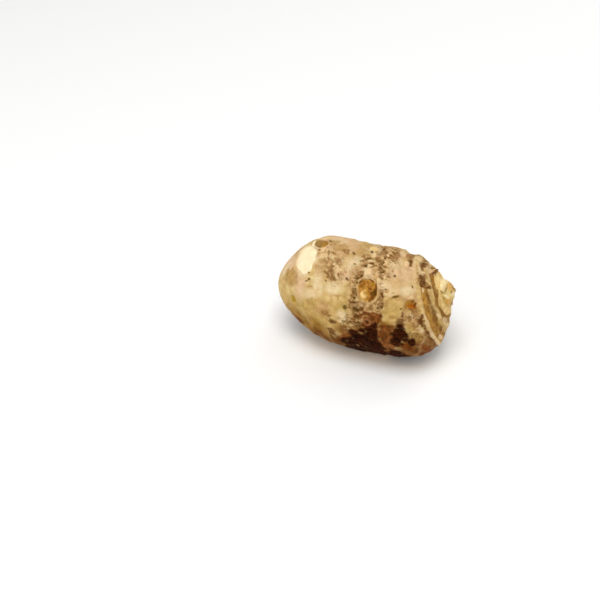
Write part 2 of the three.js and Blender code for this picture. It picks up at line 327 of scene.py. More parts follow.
# %% [markdown]
# A point of the skin is worked out from its place along the axis, its turn round the axis and its height.
# With no height anywhere, the grid of these points is the smooth skin that all the relief is added to.

# %% Smooth skin
def skin_points(x, r, turn, out_x, out_r, height):
    """Point of the skin: ring middle, plus the lobed radius sideways, plus the height along the normal."""
    middle, forward, sideways = ring_frame(x, r)
    side = np.cos(turn)[..., None] * sideways + np.sin(turn)[..., None] * ACROSS
    reach = r * lobes(turn) + height * out_r
    return set_in_frame(middle + reach[..., None] * side + (height * out_x)[..., None] * forward)


def grid_normals(points):
    """Outward normal of each grid point: cross product of its steps round and along the grid."""
    round_step = np.roll(points, -1, axis=1) - np.roll(points, 1, axis=1)
    along_step = np.gradient(points, axis=0)
    return unit(np.cross(round_step, along_step))


X, R, OUT_X, OUT_R = (np.repeat(values[:, None], SECTORS, axis=1) for values in profile_rows)
TURN = np.repeat(turns[None], ROWS, axis=0)
TURN_DEGREES = np.degrees(TURN)
smooth = skin_points(X, R, TURN, OUT_X, OUT_R, np.zeros_like(X))
smooth_normal = grid_normals(smooth)
print("smooth skin spans", (smooth.max((0, 1)) - smooth.min((0, 1))).round(1), "mm")

# %% [markdown]
# ## The camera
# The camera comes before the finish, because the marks on the skin are placed by where they lie in the
# photograph. It has the photograph's viewing angle, and looks down at the corm's front. From there each
# mark's pixel leads to one place on the skin, and the mark then belongs to the skin, seen from any side.

# %% Camera
LENS, SENSOR, PIXELS = 85.0, 36.0, 600
DISTANCE = 654.0
AZIMUTH, ELEVATION = math.radians(16.3), math.radians(36.9)
AIM_ALONG = 38.0  # the point of the axis that the view is measured from
AIM_PIXEL = (357.5, 285.5)  # where that point lies in the photograph


def new_object(name, data):
    """Object in the scene that carries a mesh, a camera or a lamp."""
    thing = bpy.data.objects.new(name, data)
    bpy.context.collection.objects.link(thing)
    return thing


def look_from(back):
    """Right and up direction of a level camera or lamp that looks along minus back."""
    right = unit(np.cross(np.array([0.0, 0.0, 1.0]), back))
    return right, np.cross(back, right)


def stand(thing, right, up, back, place):
    """Sets a camera or lamp at a place in metres, with its three directions as its matrix's columns."""
    matrix = np.eye(4)
    matrix[:3] = np.stack([right, up, back, place], axis=1)
    thing.matrix_world = Matrix(matrix.tolist())


aim = ROOT_END + TIP @ np.array([AIM_ALONG, 0, 0])
view_back = np.array([
    math.sin(AZIMUTH) * math.cos(ELEVATION),
    -math.cos(AZIMUTH) * math.cos(ELEVATION),
    math.sin(ELEVATION),
])
eye = aim + DISTANCE * view_back
focal = LENS / SENSOR * PIXELS
first_right, first_up = look_from(view_back)
shift_right = (AIM_PIXEL[0] - PIXELS / 2) / focal * DISTANCE
shift_up = (PIXELS / 2 - AIM_PIXEL[1]) / focal * DISTANCE
middle_of_view = aim - shift_right * first_right - shift_up * first_up
back = unit(eye - middle_of_view)
right = unit(first_right - (first_right @ back) * back)
up = np.cross(back, right)


def pixels_of(points):
    """Photo pixel of each point: its sideways and upward offset over its distance, times the focal length."""
    offset = points - eye
    distance = -(offset @ back)
    across = PIXELS / 2 + focal * (offset @ right) / distance
    down = PIXELS / 2 - focal * (offset @ up) / distance
    return np.stack([across, down], -1)


camera_data = bpy.data.cameras.new("camera")
camera_data.lens = LENS
camera_data.sensor_width = SENSOR
camera = new_object("camera", camera_data)
stand(camera, right, up, back, eye * MM)
camera_data.clip_start, camera_data.clip_end = 0.01, 20  # metres
bpy.context.scene.camera = camera
print("the aim point lies at pixel", pixels_of(aim).round(1))

# %% [markdown]
# ## Finding places on the skin
# A mark needs three directions of its own: forwards along the corm, round it, and outwards. They come from
# the skin's grid at the nearest point that faces the camera, or at a given place and turn.

# %% Places on the skin
smooth_pixels = pixels_of(smooth)
faces_camera = (smooth_normal @ back) > 0.05
along_grid = np.gradient(smooth, axis=0)
along_grid -= (along_grid * smooth_normal).sum(-1, keepdims=True) * smooth_normal
ahead_direction = unit(along_grid)
round_direction = np.cross(smooth_normal, ahead_direction)


def seen_at(px, py):
    """Row and column of the skin point that the photograph shows at a pixel."""
    away = np.hypot(smooth_pixels[..., 0] - px, smooth_pixels[..., 1] - py)
    away[~faces_camera] = 1e6
    return np.unravel_index(away.argmin(), away.shape)


def at_place(x, turn_degrees):
    """Row and column of the skin point at a place along the axis and a turn."""
    row = np.abs(X[:, 0] - x).argmin()
    column = int(round(turn_degrees / 360 * SECTORS)) % SECTORS
    return row, column


def local(point):
    """Every skin point's distance forwards, round and outwards from one point, in millimetres."""
    offset = smooth - smooth[point]
    forwards = offset @ ahead_direction[point]
    roundwards = offset @ round_direction[point]
    outwards = offset @ smooth_normal[point]
    return forwards, roundwards, outwards


SAME_SIDE = -7.0  # points further inwards than this belong to the other side


def soft_mark(first, second):
    """1 in the middle of two directions, 0.5 at a distance of 1 from it, 0 at 2 and beyond."""
    return np.clip(1 - np.hypot(first, second) / 2, 0, 1)


def spot(point, size):
    """Soft round mark at a point of the skin: 1 in its middle, 0.5 at its size, 0 at twice that."""
    forwards, roundwards, outwards = local(point)
    return np.where(outwards > SAME_SIDE, soft_mark(forwards / size, roundwards / size), 0)


BIG_SCAR_PIXEL = (366, 290)
big_scar = seen_at(*BIG_SCAR_PIXEL)
print("the big bud scar is at x", round(X[big_scar], 1), "turn", round(TURN_DEGREES[big_scar], 1))

# %% [markdown]
# ## Bud scars
# Where a side bud grew, or a small corm broke off, a round hollow is left with a low rim, often with the
# dried bud still in it. The hollow is a change of height that depends only on the distance from its middle,
# so its shape is a profile turned about the outward direction, with a slightly uneven outline. The three
# scars that the photograph shows take their outline from it, so they are not quite the size of the solid's.

# %% Bud scars
BUD_SCARS = [
    # place, turn, size, depth, rim, bud, outline in the photograph: pixel, half width and half height
    (50.2, 91.0, 4.7, 1.0, 0.2, 2.4, (368.0, 290.3, 9.3, 11.4)),
    (23.4, 49, 3.6, 0.9, 0.4, 0, (321.4, 244, 7, 4.1)),
    (66.2, 145.5, 2.7, 0.6, 0.2, 1.2, (416.8, 337.4, 5.8, 5.8)),
    (58.5, 268, 4.0, 0.95, 0.3, 1.9, None),
    (34.5, 318, 3.4, 0.8, 0.3, 0, None),
]
SCAR_UNEVEN, FAR_OFF = 0.07, 9.0  # FAR_OFF stands for a place that is nowhere near a scar
RIM_OUT, RIM_WIDTH = 0.2, 0.9
OUTER_RINGS = [(1.9, 0.5, -0.12), (2.7, 0.5, 0.1)]  # how far outside the hollow, half width, height
HOLLOW_WALL = (0.6, 1.02)  # where the wall starts and ends, as a share of the scar's size
BUD_OFFSET, BUD_HIGH = (-1.3, 1.2), 0.9  # the bud is this share of the depth high
ROOT_SCAR_AT = (367.6, 322)  # pixel of the small round scar that a root left
ROOT_RING_AWAY, ROOT_RING_WIDTH, ROOT_RING_HIGH = 1.45, 0.4, 0.22
ROOT_HOLE_WIDTH, ROOT_HOLE_DEEP = 0.95, 0.4


def bud_scar_height(scar):
    """Height that one scar adds, and how far out each point lies as a share of the scar's size.

    The height is a bell-shaped rim with a groove and a ridge outside it, a hollow with steep walls and a
    domed bud.
    """
    place, turn_degrees, size, deep, rim, bud, outline = scar
    if outline:
        px, py, wide, tall = outline
        first, second = (smooth_pixels[..., 0] - px) / wide * size, (smooth_pixels[..., 1] - py) / tall * size
        near = step(smooth_normal @ back, 0.0, 0.12)
    else:
        first, second, outwards = local(at_place(place, turn_degrees))
        near = (outwards > SAME_SIDE).astype(float)
    angle = np.arctan2(second, first)
    uneven = 1 + SCAR_UNEVEN * (np.sin(2 * angle + 0.7) + 0.6 * np.sin(3 * angle + 2))
    away = np.hypot(first, second) / uneven
    height = rim * bump(away - size - RIM_OUT, RIM_WIDTH)
    height += sum(high * bump(away - size - out, half_width) for out, half_width, high in OUTER_RINGS)
    height -= deep * (1 - step(away / size, *HOLLOW_WALL))
    if bud > 0:
        from_bud = np.hypot(first - BUD_OFFSET[0], second - BUD_OFFSET[1]) / bud
        height += deep * BUD_HIGH * np.sqrt(np.clip(1 - from_bud**2, 0, 1))
    return near * height, np.where(near > 0.5, away / size, FAR_OFF)


scar_height = np.zeros_like(X)
scar_share = np.full_like(X, FAR_OFF)
for scar in BUD_SCARS:
    added, share = bud_scar_height(scar)
    scar_height += added
    scar_share = np.minimum(scar_share, share)
SCAR_RINGS = [
    # share of the scar's size, width, strength
    (0.5, 0.1, 0.6), (0.84, 0.08, 0.7), (1.0, 0.06, 0.7), (1.3, 0.09, 0.7),
]
scar_rings = np.max([strong * bump(scar_share - share, width) for share, width, strong in SCAR_RINGS], axis=0)
worn = np.clip(0.62 + 1.1 * layered_noise(smooth, 3.2, 2, 171), 0.1, 1)
scar_rings *= worn
scar_rim = worn * bump(scar_share - 1.14, 0.1)
root_away = np.linalg.norm(smooth - smooth[seen_at(*ROOT_SCAR_AT)], axis=-1)
root_ring = bump(root_away - ROOT_RING_AWAY, ROOT_RING_WIDTH)
root_hole = bump(root_away, ROOT_HOLE_WIDTH)
scar_height += ROOT_RING_HIGH * root_ring - ROOT_HOLE_DEEP * root_hole
print(len(BUD_SCARS), "bud scars, deepest", round(-scar_height.min(), 2), "mm")

# %% [markdown]
# ## The marks on the skin
# Most of the brown outer skin has been rubbed off, and cream to tan flesh shows under it. What is left of
# the skin is in patches with ragged edges: dark umber below, made near black by painted shadow, brown and
# russet round the scars, corky and grainy bands along the rings. Each kind of mark is one mask: soft ellipses
# where the photograph shows that kind, put together by their maximum. The relief uses the mask, and the
# material uses the same one.
#
# Each mark is written as its pixel across, pixel down, half width, half height, and its clockwise lean in
# degrees if it has one. First come the soft tones of the flesh. Some of them are painted shade and painted
# shadow, darker towards the lower side and the underside, and the lightest are partly painted highlights.

# %% Tones of the flesh
TONES = {
    "tan": [
        (336, 252, 15, 7), (347, 247, 17, 7, 8), (366, 262, 11, 9), (381, 262, 9, 14), (329, 264, 9, 10),
        (357, 273, 8, 7), (416, 318, 6, 6), (424, 341, 8, 8), (395, 254, 8, 8), (297, 256, 4, 9, 35),
        (320, 268, 5, 6), (407, 318, 6, 6), (328, 247, 12, 6, 5), (322, 257, 6, 6),
        (321.4, 308.6, 5.4, 5.4, 20), (325.4, 312.4, 3.4, 3), (419, 306, 2.6, 9, -14), (412, 300, 8, 7),
    ],
    "pink": [
        (402, 272, 19, 9, 5), (338, 245, 14, 7), (300, 283, 5, 13), (386, 286, 7, 5), (345, 275, 8, 6),
        (368, 272, 5, 7), (361, 306, 5, 3), (290, 262, 5, 8, 30), (303, 268, 4, 4),
    ],
    "olive": [
        (305, 304, 15, 7, 22), (320, 318, 13, 7, 35), (347, 291, 9, 5), (360, 251, 8, 4),
        (393, 312, 10, 9), (409, 314, 8, 9), (350, 300, 6, 13), (412, 335, 9, 9), (383, 277, 6, 6),
        (412, 290, 6, 8), (342, 310, 8, 8), (322, 307, 8, 6, 30), (310, 287, 4, 2), (322.5, 285, 1.2, 9),
        (345, 307.5, 3.6, 3.6), (344, 325, 9, 5, 10),
    ],
    # Painted shade: the lower side darker towards its outline.
    "painted_shade": [
        (299, 317, 15, 4.4, 42), (313, 330, 14, 5, 42), (330, 342, 14, 5, 32), (320, 328, 14, 4, 40),
        (343, 329, 8, 4, 15), (352, 324, 8, 4), (345, 345, 10, 5, 15), (384, 324, 8, 2),
        (297.4, 317.6, 5, 3, 42),
    ],
    # Painted shadow: near black brown on the underside and the lower right, where the corm is shaded.
    "painted_shadow": [
        (410, 350.6, 11, 6.4, -8), (361, 327, 8, 4), (428, 345, 9, 8), (408, 346, 9, 7),
        (424, 354, 9, 4.4, -15), (431, 341, 5, 8, -38), (356, 331, 11, 5), (340, 342, 7, 6, 20),
        (348, 331.5, 8, 3.6, 12), (299, 319.6, 6, 1.6, 42), (320, 335, 9, 3.2, 38), (365, 326, 7, 4),
        (328, 341, 8, 4, 35), (415, 342, 7, 5), (433, 346, 3.4, 2.2, -38), (385, 326.5, 8, 1.6),
    ],
    # Light flesh, partly painted highlights.
    "light_flesh_and_highlight": [
        (350, 264, 5, 5, 60), (343, 261, 1.5, 2.5, 20), (318, 284, 4.5, 10), (334, 288, 8, 5),
        (367, 272, 3.5, 5), (376, 249.5, 5, 3), (406, 290.4, 10.5, 4.4, -6), (391, 293, 4, 3),
        (303, 274, 4, 3), (310, 293, 6, 4), (418, 261, 3, 5), (285, 270, 1.5, 7, 30), (385, 286, 5, 4),
        (341, 315, 4, 4), (372, 261, 2.5, 1), (369, 266, 2.2, 1), (375, 248.6, 6, 2.6, 10),
        (336, 262, 3, 1.6), (332, 258, 2.4, 1.4), (336.5, 276, 1.2, 2), (307, 282, 1.4, 0.8),
        (428, 327, 1.6, 5, -28), (434.5, 338, 2.6, 5, -35), (443, 322.5, 2.6, 2, 30), (447, 325, 2, 2),
        (412, 316, 1.6, 1.6), (417, 325, 2.4, 1.6), (403, 330, 1, 1), (420, 330, 4, 1.6, 20),
        (419, 259.5, 4.5, 1.6, 15), (444, 322, 3, 2.4, 30), (357.5, 261, 4, 3.4), (339, 242, 6, 3),
        (395, 263.4, 4.6, 4), (343.6, 320.6, 3.6, 2.6), (320.5, 260.4, 4, 3.4),
    ],
}
print({name: len(places) for name, places in TONES.items()})

# %% [markdown]
# Next come the marks with an edge: stains, what is left of the brown skin, the colours of the scars, and bare
# or scraped flesh.

# %% Marks with an edge
REMAINS = {
    "stain": [
        (291.3, 276.9, 7.2, 8.2), (324.6, 311.5, 3, 2.6, 20), (337, 295.6, 4, 0.8), (338, 298, 0.7, 1.8),
        (310, 286, 2.4, 1, 10), (322, 261, 4, 3), (294, 306, 3, 1.2, 45), (311.7, 298.6, 1.3, 1.3),
        (411.5, 255, 5.6, 2.6, 10), (411, 301.4, 4.6, 1.8, -20), (423.5, 264, 5, 4.4, 20),
        (395.6, 297, 5, 1.8, -8), (390.6, 299, 3, 1.1, -10), (413, 286.5, 0.9, 2, -20), (393, 293, 2, 1),
        (386.6, 303, 2.2, 3.4, 10), (393, 317.4, 4, 1.6, 10), (414.6, 325.6, 3.8, 3.2),
        (415, 312, 3.4, 2.6), (416.6, 330, 3.4, 2.2), (408, 325, 3.2, 3), (386, 291, 2.6, 2),
        (325, 313.2, 6, 3.8, 20), (397.6, 299.4, 2.8, 1.3), (369, 245.6, 3.6, 2.6), (334, 244, 7, 3.2),
        (341.4, 248.2, 8, 4, 5), (416, 309, 3, 2.6),
    ],
    "yellow": [(294, 298.6, 1.8, 4, -28), (434, 273.4, 2.6, 4.6, -8)],
    "brown": [
        (331.4, 271.4, 3, 5, -20), (332.4, 277, 3.6, 4), (338.5, 261.5, 3.5, 2.5),
        (327, 262, 3.2, 1.8, 20), (361, 273, 4, 2.6), (346, 252, 3, 2.6), (396, 256, 5, 5.5, 20),
        (384, 251, 3, 4), (411, 254.5, 7, 2.2, 8), (410.5, 260.5, 3, 6.6, 8), (353, 303, 5, 2.6),
        (382, 296, 2.2, 7, -5), (409, 336, 3, 1.4, -20), (381, 314, 1.4, 3), (402.4, 316.4, 1.4, 5, 6),
        (434, 272, 2.6, 3.4, -10), (422.2, 279.8, 5, 7.6, -8), (427, 285.6, 3, 2.6, 10),
        (425.8, 263, 4.2, 2.9, 20), (420.3, 321, 4.6, 4.4), (427, 332, 4, 3.4, 25),
        (433.5, 340.5, 1.6, 6, -36), (378, 259, 2.6, 2), (372, 264, 3, 1.6), (325, 312.6, 2.8, 2.4, 20),
        (329.4, 316, 1.8, 1.4, 20), (361, 308.4, 4.4, 3.2), (356, 318.4, 4.4, 3.4),
        (413.6, 325.4, 2.6, 2.4), (415, 311.4, 3.2, 2.7), (354, 282.2, 3, 3.4), (365, 302.6, 4, 1.4),
        (414, 316, 2.4, 2), (356, 306.4, 3.4, 2), (380.6, 304, 4.4, 3.6), (353, 322, 3, 2.2),
        (366, 310.4, 3.6, 2.2),
    ],
    "dark": [
        (421.8, 277.8, 3.8, 4.2), (423, 283, 3.8, 3.8), (429, 287.4, 1.6, 1.6),
        (425.6, 263.4, 3.4, 2.4, 25), (410.8, 262.4, 1.7, 3.4, 8), (435.4, 271.4, 2.4, 1.8, 30),
        (332, 321.5, 3.9, 2.2, 15), (331.4, 331, 4.3, 2.6, 38), (332.4, 337, 3.8, 1.5, 45),
        (382, 295, 1.5, 4.6, -5), (420.3, 321.5, 3.8, 3.2), (421.3, 316.5, 1.4, 3.4, 12),
        (422.4, 325, 2.2, 3, -30), (427, 332, 2.2, 1.8, 20), (432.8, 340.4, 1.7, 6.4, -37),
        (361, 309, 2.4, 1.8), (356.2, 316, 2.6, 2), (436.8, 270, 1.4, 1.6), (400, 324, 5, 4.6, -20),
    ],
    "russet": [
        (368.6, 313.9, 8, 3.1), (374, 318, 5, 4), (378.8, 318.8, 3, 5.6), (384, 334, 11, 7.4),
        (388, 343, 13, 7), (348, 336, 7, 4, -10), (426, 348, 5, 3.6), (360, 316, 2, 3),
        (366, 317.6, 4.4, 2.4), (369, 324, 6, 5), (384, 351, 16, 6, 7), (404.4, 345.4, 3.4, 2.4),
        (380, 345, 9, 5, 10),
    ],
    # Dark brown skin below, made near black by painted shadow.
    "umber_and_shadow": [
        (360, 340, 19, 6.6, -6), (370.5, 335, 6.4, 9), (368.5, 328.5, 5.4, 3), (356, 337, 8, 5),
        (344, 340, 4.4, 3), (399, 335, 9, 6.6), (366, 351, 27, 7, 7), (396, 342.2, 6.4, 4.4),
        (396, 354, 14, 5, 7), (374, 326, 3, 4), (354, 332.6, 6, 3.4, -8), (362, 330.6, 4.4, 3),
        (399, 326.6, 3.6, 2.4, -20), (376.4, 341, 3, 3.6), (376, 331.4, 2, 3.4), (398, 331, 6, 4),
        (411.7, 341.4, 4.4, 3, 12), (376, 346, 8, 5, 10), (404, 339.4, 3.2, 3.2),
        (373.4, 335.5, 4.4, 9.4, -8),
    ],
    "amber": [(368, 290.3, 9.2, 11.3)],
    "rust": [(411.4, 304.4, 5.6, 4.8, -15), (407.8, 305.6, 3.4, 2.6)],
    "orange": [(412, 305.8, 3.8, 3.2, -10)],
    # Golden flesh in the scars, partly a painted highlight on the big bud.
    "golden_and_highlight": [
        (365.4, 293, 2.2, 2.4), (372.8, 284, 1.8, 3), (366.6, 288.6, 1.4, 1), (324.4, 243.2, 3.4, 1.9),
    ],
    "flesh": [(306.5, 257.5, 13.4, 8.6, -58), (301.4, 265, 5.4, 5), (312, 251.6, 5, 4)],
    "yellow_cream": [
        (363.4, 294.6, 2.8, 4.6, 8), (441.4, 284, 4.6, 7, 10), (437.8, 279, 1.6, 2.4, -10),
        (374.4, 249.2, 4, 2.2, 20),
    ],
    # Pale flesh and grains, partly painted highlights on the crown's ridges.
    "pale": [
        (388, 255, 1.3, 1.2), (387, 258.6, 1.1, 0.9), (386.2, 262.4, 1.6, 1.4), (384.6, 277.5, 1.3, 1.3),
        (371, 260.8, 2.6, 1), (369.5, 265.6, 3, 1.1), (426, 320.5, 1.6, 6, -24), (431, 334, 2, 6, -32),
        (436.5, 341.5, 2.4, 4, -38), (444.5, 321, 2.4, 3, 30), (447, 324, 2.6, 2),
        (447.4, 320, 2.6, 2, 20), (437.8, 315.6, 1.1, 2.6, -32), (431.6, 267.4, 3.6, 3.8, -35),
        (378.6, 280.8, 2.2, 2.6), (326, 255.8, 2.4, 2), (420, 267.4, 2, 2), (423.4, 290, 1.4, 2.4, -8),
        (430.2, 275.6, 1.8, 4.4, -12), (422.6, 271.6, 3.8, 2.4), (403.4, 252.6, 3.2, 3),
        (322, 255.6, 2.6, 2.4), (322, 250.4, 3, 1.5), (401.6, 260, 3, 2.8), (337, 267, 2.4, 1.8),
        (419.6, 258.6, 4, 1.3, 15), (333, 258, 1.6, 0.9, 10), (336.4, 275.6, 1.2, 1.6),
        (327.5, 250.5, 1.6, 0.8, -20), (334, 264.6, 1.4, 1), (324.4, 238.4, 8, 1.1), (339, 270, 2.6, 2.2),
        (374, 255, 2.8, 2.4), (407, 262.4, 2.4, 2.6), (322, 248.8, 4.4, 0.8), (410.4, 297.6, 3, 1.6, -20),
        (441, 337, 2.4, 2.6, -30), (368.4, 271.4, 2.8, 3), (384.6, 284.6, 3.2, 1.8),
    ],
    "burnt": [
        (374.2, 293, 2.6, 5.2, 12), (371.4, 298.4, 3.8, 2.4, -35), (371.2, 293.6, 1.8, 2.8, 15),
        (361.4, 281.8, 3.4, 1.2, -38), (376.4, 286, 0.9, 4), (369.6, 288.4, 1.6, 0.8, 20),
        (412.4, 301.8, 2.6, 0.9, -24), (415, 305, 1.2, 3), (410.6, 309.4, 2.4, 0.9),
        (371.6, 280.6, 3.6, 0.9, 30), (383.8, 336.5, 4.2, 4.6), (391, 328, 5.4, 3),
        (371.6, 318.4, 3.6, 2.2), (378.6, 320.4, 1.5, 2.8), (380.6, 316.6, 1.6, 2.2),
    ],
}
print({name: len(places) for name, places in REMAINS.items()})

# %% [markdown]
# Small pits and rough bands are marks too. They change the shape of the skin as well as its colour.

# %% Pits and rough bands
PITS = [
    (354, 253.5, 2, 1.1, 45), (330.5, 241.8, 1.4, 1), (319.5, 249.5, 1.3, 0.8), (347, 279, 1.8, 1.2, 45),
    (344.8, 307.2, 2, 2.4), (309, 279, 1.4, 1.4), (306.5, 281, 1.4, 0.7), (308.8, 272.5, 0.9, 1),
    (394.7, 275.6, 1.4, 1.4), (325.5, 280.5, 1.2, 0.7, 40), (385.5, 289, 1, 0.7),
    (401, 309, 1.5, 0.9, -40), (402.3, 313, 0.7, 1.3), (402.5, 316.2, 0.8, 1.7), (374.6, 292, 1.7, 3.4, 8),
    (412.8, 286.4, 0.6, 1.5, -18), (372, 251.6, 1.3, 1.5, -40), (395.6, 296.8, 3.6, 1.2, -10),
    (369, 258.3, 3, 0.8, -10), (371.5, 263.7, 2.5, 0.8), (366, 266, 1.8, 1.3, -20),
    (381.5, 272.3, 2.8, 1, -25), (358, 278.3, 3.5, 0.8), (362, 276, 1.2, 1.5, 30), (357.5, 283, 1, 1.4),
    (381.7, 307.5, 1.1, 2, 10), (378, 308, 1, 1), (353.6, 292.3, 0.9, 0.9), (354.5, 298, 1, 1.3),
    (356, 309.5, 3.6, 1.8, 35), (353, 302, 3.5, 0.8), (355.5, 316.5, 0.9, 1.4), (358, 318.5, 1.2, 1.6),
    (350.5, 321.7, 1.2, 0.9), (354, 321.5, 1.8, 0.8, 10), (380.5, 267, 1.2, 1), (356.8, 323, 1.1, 0.9),
    (359, 325.6, 1.3, 0.8), (347, 315.3, 0.9, 0.9), (384, 249.5, 1, 1.5), (385, 258, 1, 1),
    (383.5, 262, 1, 1),
]
ROUGH_BANDS = [
    (355, 300, 6, 26), (352, 320, 8, 8), (359, 280, 8, 7), (381, 265, 8, 15, -5), (388, 254, 13, 9, 10),
    (378, 306, 4, 12), (368, 263, 7, 8), (335, 272, 8, 9), (347, 323, 8, 4, 20), (338, 261, 6, 4),
    (330, 255, 5, 5), (371, 309, 7, 5), (414, 318, 6, 4),
]
print(len(PITS), "pits and", len(ROUGH_BANDS), "places with a rough band")

# %% [markdown]
# A mask is the strongest of its marks at each point of the skin. It counts only where the skin faces the
# camera, as the same pixels would hit the far side too.

# %% Masks of the marks
in_view = step(smooth_normal @ back, -0.05, 0.12)


def seen_mark(pixels, px, py, wide, tall, lean=0):
    """Soft mark that the photograph shows as an ellipse: 1 in its middle, 0.5 on it, 0 at twice its size."""
    dx, dy = pixels[..., 0] - px, pixels[..., 1] - py
    c, s = math.cos(math.radians(lean)), math.sin(math.radians(lean))
    return soft_mark((c * dx + s * dy) / wide, (c * dy - s * dx) / tall)


def marks(places, pixels=smooth_pixels, facing=in_view):
    """Strongest of the marks of one kind, where the surface faces the camera."""
    return facing * np.max([seen_mark(pixels, *place) for place in places], axis=0)


tones = {name: marks(places) for name, places in TONES.items()}
remains = {name: marks(places) for name, places in REMAINS.items()}
pits = marks(PITS)
rough = marks(ROUGH_BANDS)
print(len(tones) + len(remains) + 2, "masks")

# %% [markdown]
# ## The sides that the photograph does not show
# The back and the underside get marks of the same kinds, by a rule instead of one by one. Brown skin rubs off
# band by band, and a band ends at a leaf scar, so each band keeps more or less of its skin. Seeded noise
# decides where, and the weight `hidden` fades the rule in where the camera does not look.

# %% Marks on the hidden sides
UMBER_AVERAGE, UMBER_UNDERSIDE, UMBER_NOISE, UMBER_BANDS = 0.22, 0.3, 0.42, 0.16
HIDDEN_PITS, PIT_ROWS, PIT_SIZES = 70, (20, 260), (0.35, 0.85)
hidden = step(-(smooth_normal @ back), -0.1, 0.25)
straight = np.stack([X, R * np.cos(TURN), R * np.sin(TURN)], -1)  # the skin as if the axis were straight
draw = np.random.default_rng(20)

band = sum((X > scar_place(scar, TURN)).astype(int) for scar in LEAF_SCARS)
band_keeps = draw.uniform(-UMBER_BANDS, UMBER_BANDS, len(LEAF_SCARS) + 1)[band]
underside = 0.5 - 0.5 * smooth_normal[..., 2]
patchy = layered_noise(straight * (0.8, 1, 1), 12.0, 4, 101)
umber_left = UMBER_AVERAGE + UMBER_UNDERSIDE * underside + band_keeps + UMBER_NOISE * patchy
remains["umber_and_shadow"] = np.maximum(remains["umber_and_shadow"], hidden * np.clip(umber_left, 0, 1))
HIDDEN_RULES = {
    # average strength, how much noise changes it, size of the noise, seed
    "brown": (0.22, 0.42, 6.5, 111),
    "dark": (0.1, 0.42, 5.5, 116),
    "russet": (0.12, 0.48, 5.0, 121),
    "rust": (0.05, 0.42, 5.0, 124),
    "stain": (0.3, 0.5, 12.0, 131),
    "tan": (0.42, 0.6, 15.0, 136),
    "light_flesh_and_highlight": (0.15, 0.6, 9.0, 141),
    "olive": (0.25, 0.6, 14.0, 151),
    "pink": (0.25, 0.6, 13.0, 156),
}
for name, (average, change, size, seed) in HIDDEN_RULES.items():
    kind = tones if name in tones else remains
    by_rule = np.clip(average + change * layered_noise(smooth, size, 3, seed), 0, 1)
    kind[name] = np.maximum(kind[name], hidden * by_rule)

for scar in LEAF_SCARS[2:]:
    beside = hidden * bump(X - scar_place(scar, TURN) - 1.2, 2.6)
    rough = np.maximum(rough, beside * np.clip(0.55 + 0.6 * layered_noise(smooth, 8.0, 2, 161), 0, 1))

for row, column in zip(draw.integers(*PIT_ROWS, HIDDEN_PITS), draw.integers(0, SECTORS, HIDDEN_PITS)):
    size = draw.uniform(*PIT_SIZES)
    pits = np.maximum(pits, step(hidden[row, column], 0.3, 0.6) * spot((row, column), size))
print("umber covers", round(float((remains["umber_and_shadow"] > 0.5).mean() * 100)), "% of the grid")

# %% [markdown]
# ## Fine relief
# Brown skin tears off in flakes, so its patches have ragged edges. A ragged patch is a soft mask plus noise,
# cut off at one half, which gives a coastline of bays and islands. Each kind has bays of its own size.

# %% Crisp patches
def ragged(mask, size, breakage, seed, softness):
    """1 where the mask plus noise of the given size is over one half, with soft edges."""
    noisy = mask + breakage * layered_noise(smooth, size, 3, seed)
    return step(noisy, 0.5 - softness, 0.5 + softness)


EDGES = {
    # size of the bays in millimetres, how deep they cut, seed, softness
    "stain": (1.6, 0.16, 206, 0.34),
    "yellow": (1.4, 0.1, 207, 0.2),
    "umber_and_shadow": (1.8, 0.2, 201, 0.3),
    "brown": (1.1, 0.32, 211, 0.44),
    "dark": (1.3, 0.2, 216, 0.36),
    "russet": (1.8, 0.26, 221, 0.42),
    "amber": (1.5, 0.08, 231, 0.2),
    "rust": (1.3, 0.26, 232, 0.42),
    "orange": (1.3, 0.16, 233, 0.42),
    "golden_and_highlight": (1.3, 0.14, 234, 0.42),
    "flesh": (3.0, 0.05, 236, 0.2),
    "yellow_cream": (1.2, 0.14, 237, 0.45),
    "burnt": (1.2, 0.14, 238, 0.42),
    "pale": (1.2, 0.14, 239, 0.45),
}
patch = {name: ragged(remains[name], *edge) for name, edge in EDGES.items()}
pit_holes = step(pits, 0.15, 0.8)
bark_left = np.maximum.reduce([patch[name] for name in ("umber_and_shadow", "brown", "dark", "russet")])
print("brown skin is left on", round(float(bark_left.mean() * 100)), "% of the grid")

# %% [markdown]
# The crown has zones of its own: the crests of its two ridges, an ochre band between them that ends in a
# painted shadow line under the inner ridge, a groove inside the inner ridge, and a pale plate in the middle.
# They could be marks as well, but all of them run round the axis, so a zone is a bump or a plateau at its
# place along it, with wavy borders.

# %% Zones of the crown
OUTER_CREST, INNER_CREST, BAND_END = 71.2, 76.0, 75.15
OCHRE_FROM, OCHRE_TO = (71.8, 72.5), (75.2, 75.6)
GROOVE_FROM, PLATE_FROM = (76.3, 76.8), (77.9, 78.4)


def between(value, start, full, fading, end):
    """0 before start, 1 from full to fading, 0 after end: a step up times a step down."""
    return step(value, start, full) * (1 - step(value, fading, end))


crown_place = X + 0.16 * layered_noise(smooth, 5.0, 2, 241)

# How far a border lies forwards of its place: on the upper side, and low on the front.
upper_shift = 1.3 * bump(TURN_DEGREES - 55, 32)
lower_shift = 0.8 * between(TURN_DEGREES, 128, 165, 190, 225)
ochre_shift = 0.5 * lower_shift + 1.4 * between(TURN_DEGREES, 143, 160, 188, 215)
plate_shift = 0.8 * between(TURN_DEGREES, 158, 176, 190, 215) + 0.5 * bump(TURN_DEGREES - 99, 10)
# How far a border lies back of its place, in the middle of the front.
inner_shift = 0.8 * bump(TURN_DEGREES - 119, 18)
groove_shift = 0.5 * bump(TURN_DEGREES - 127, 16)

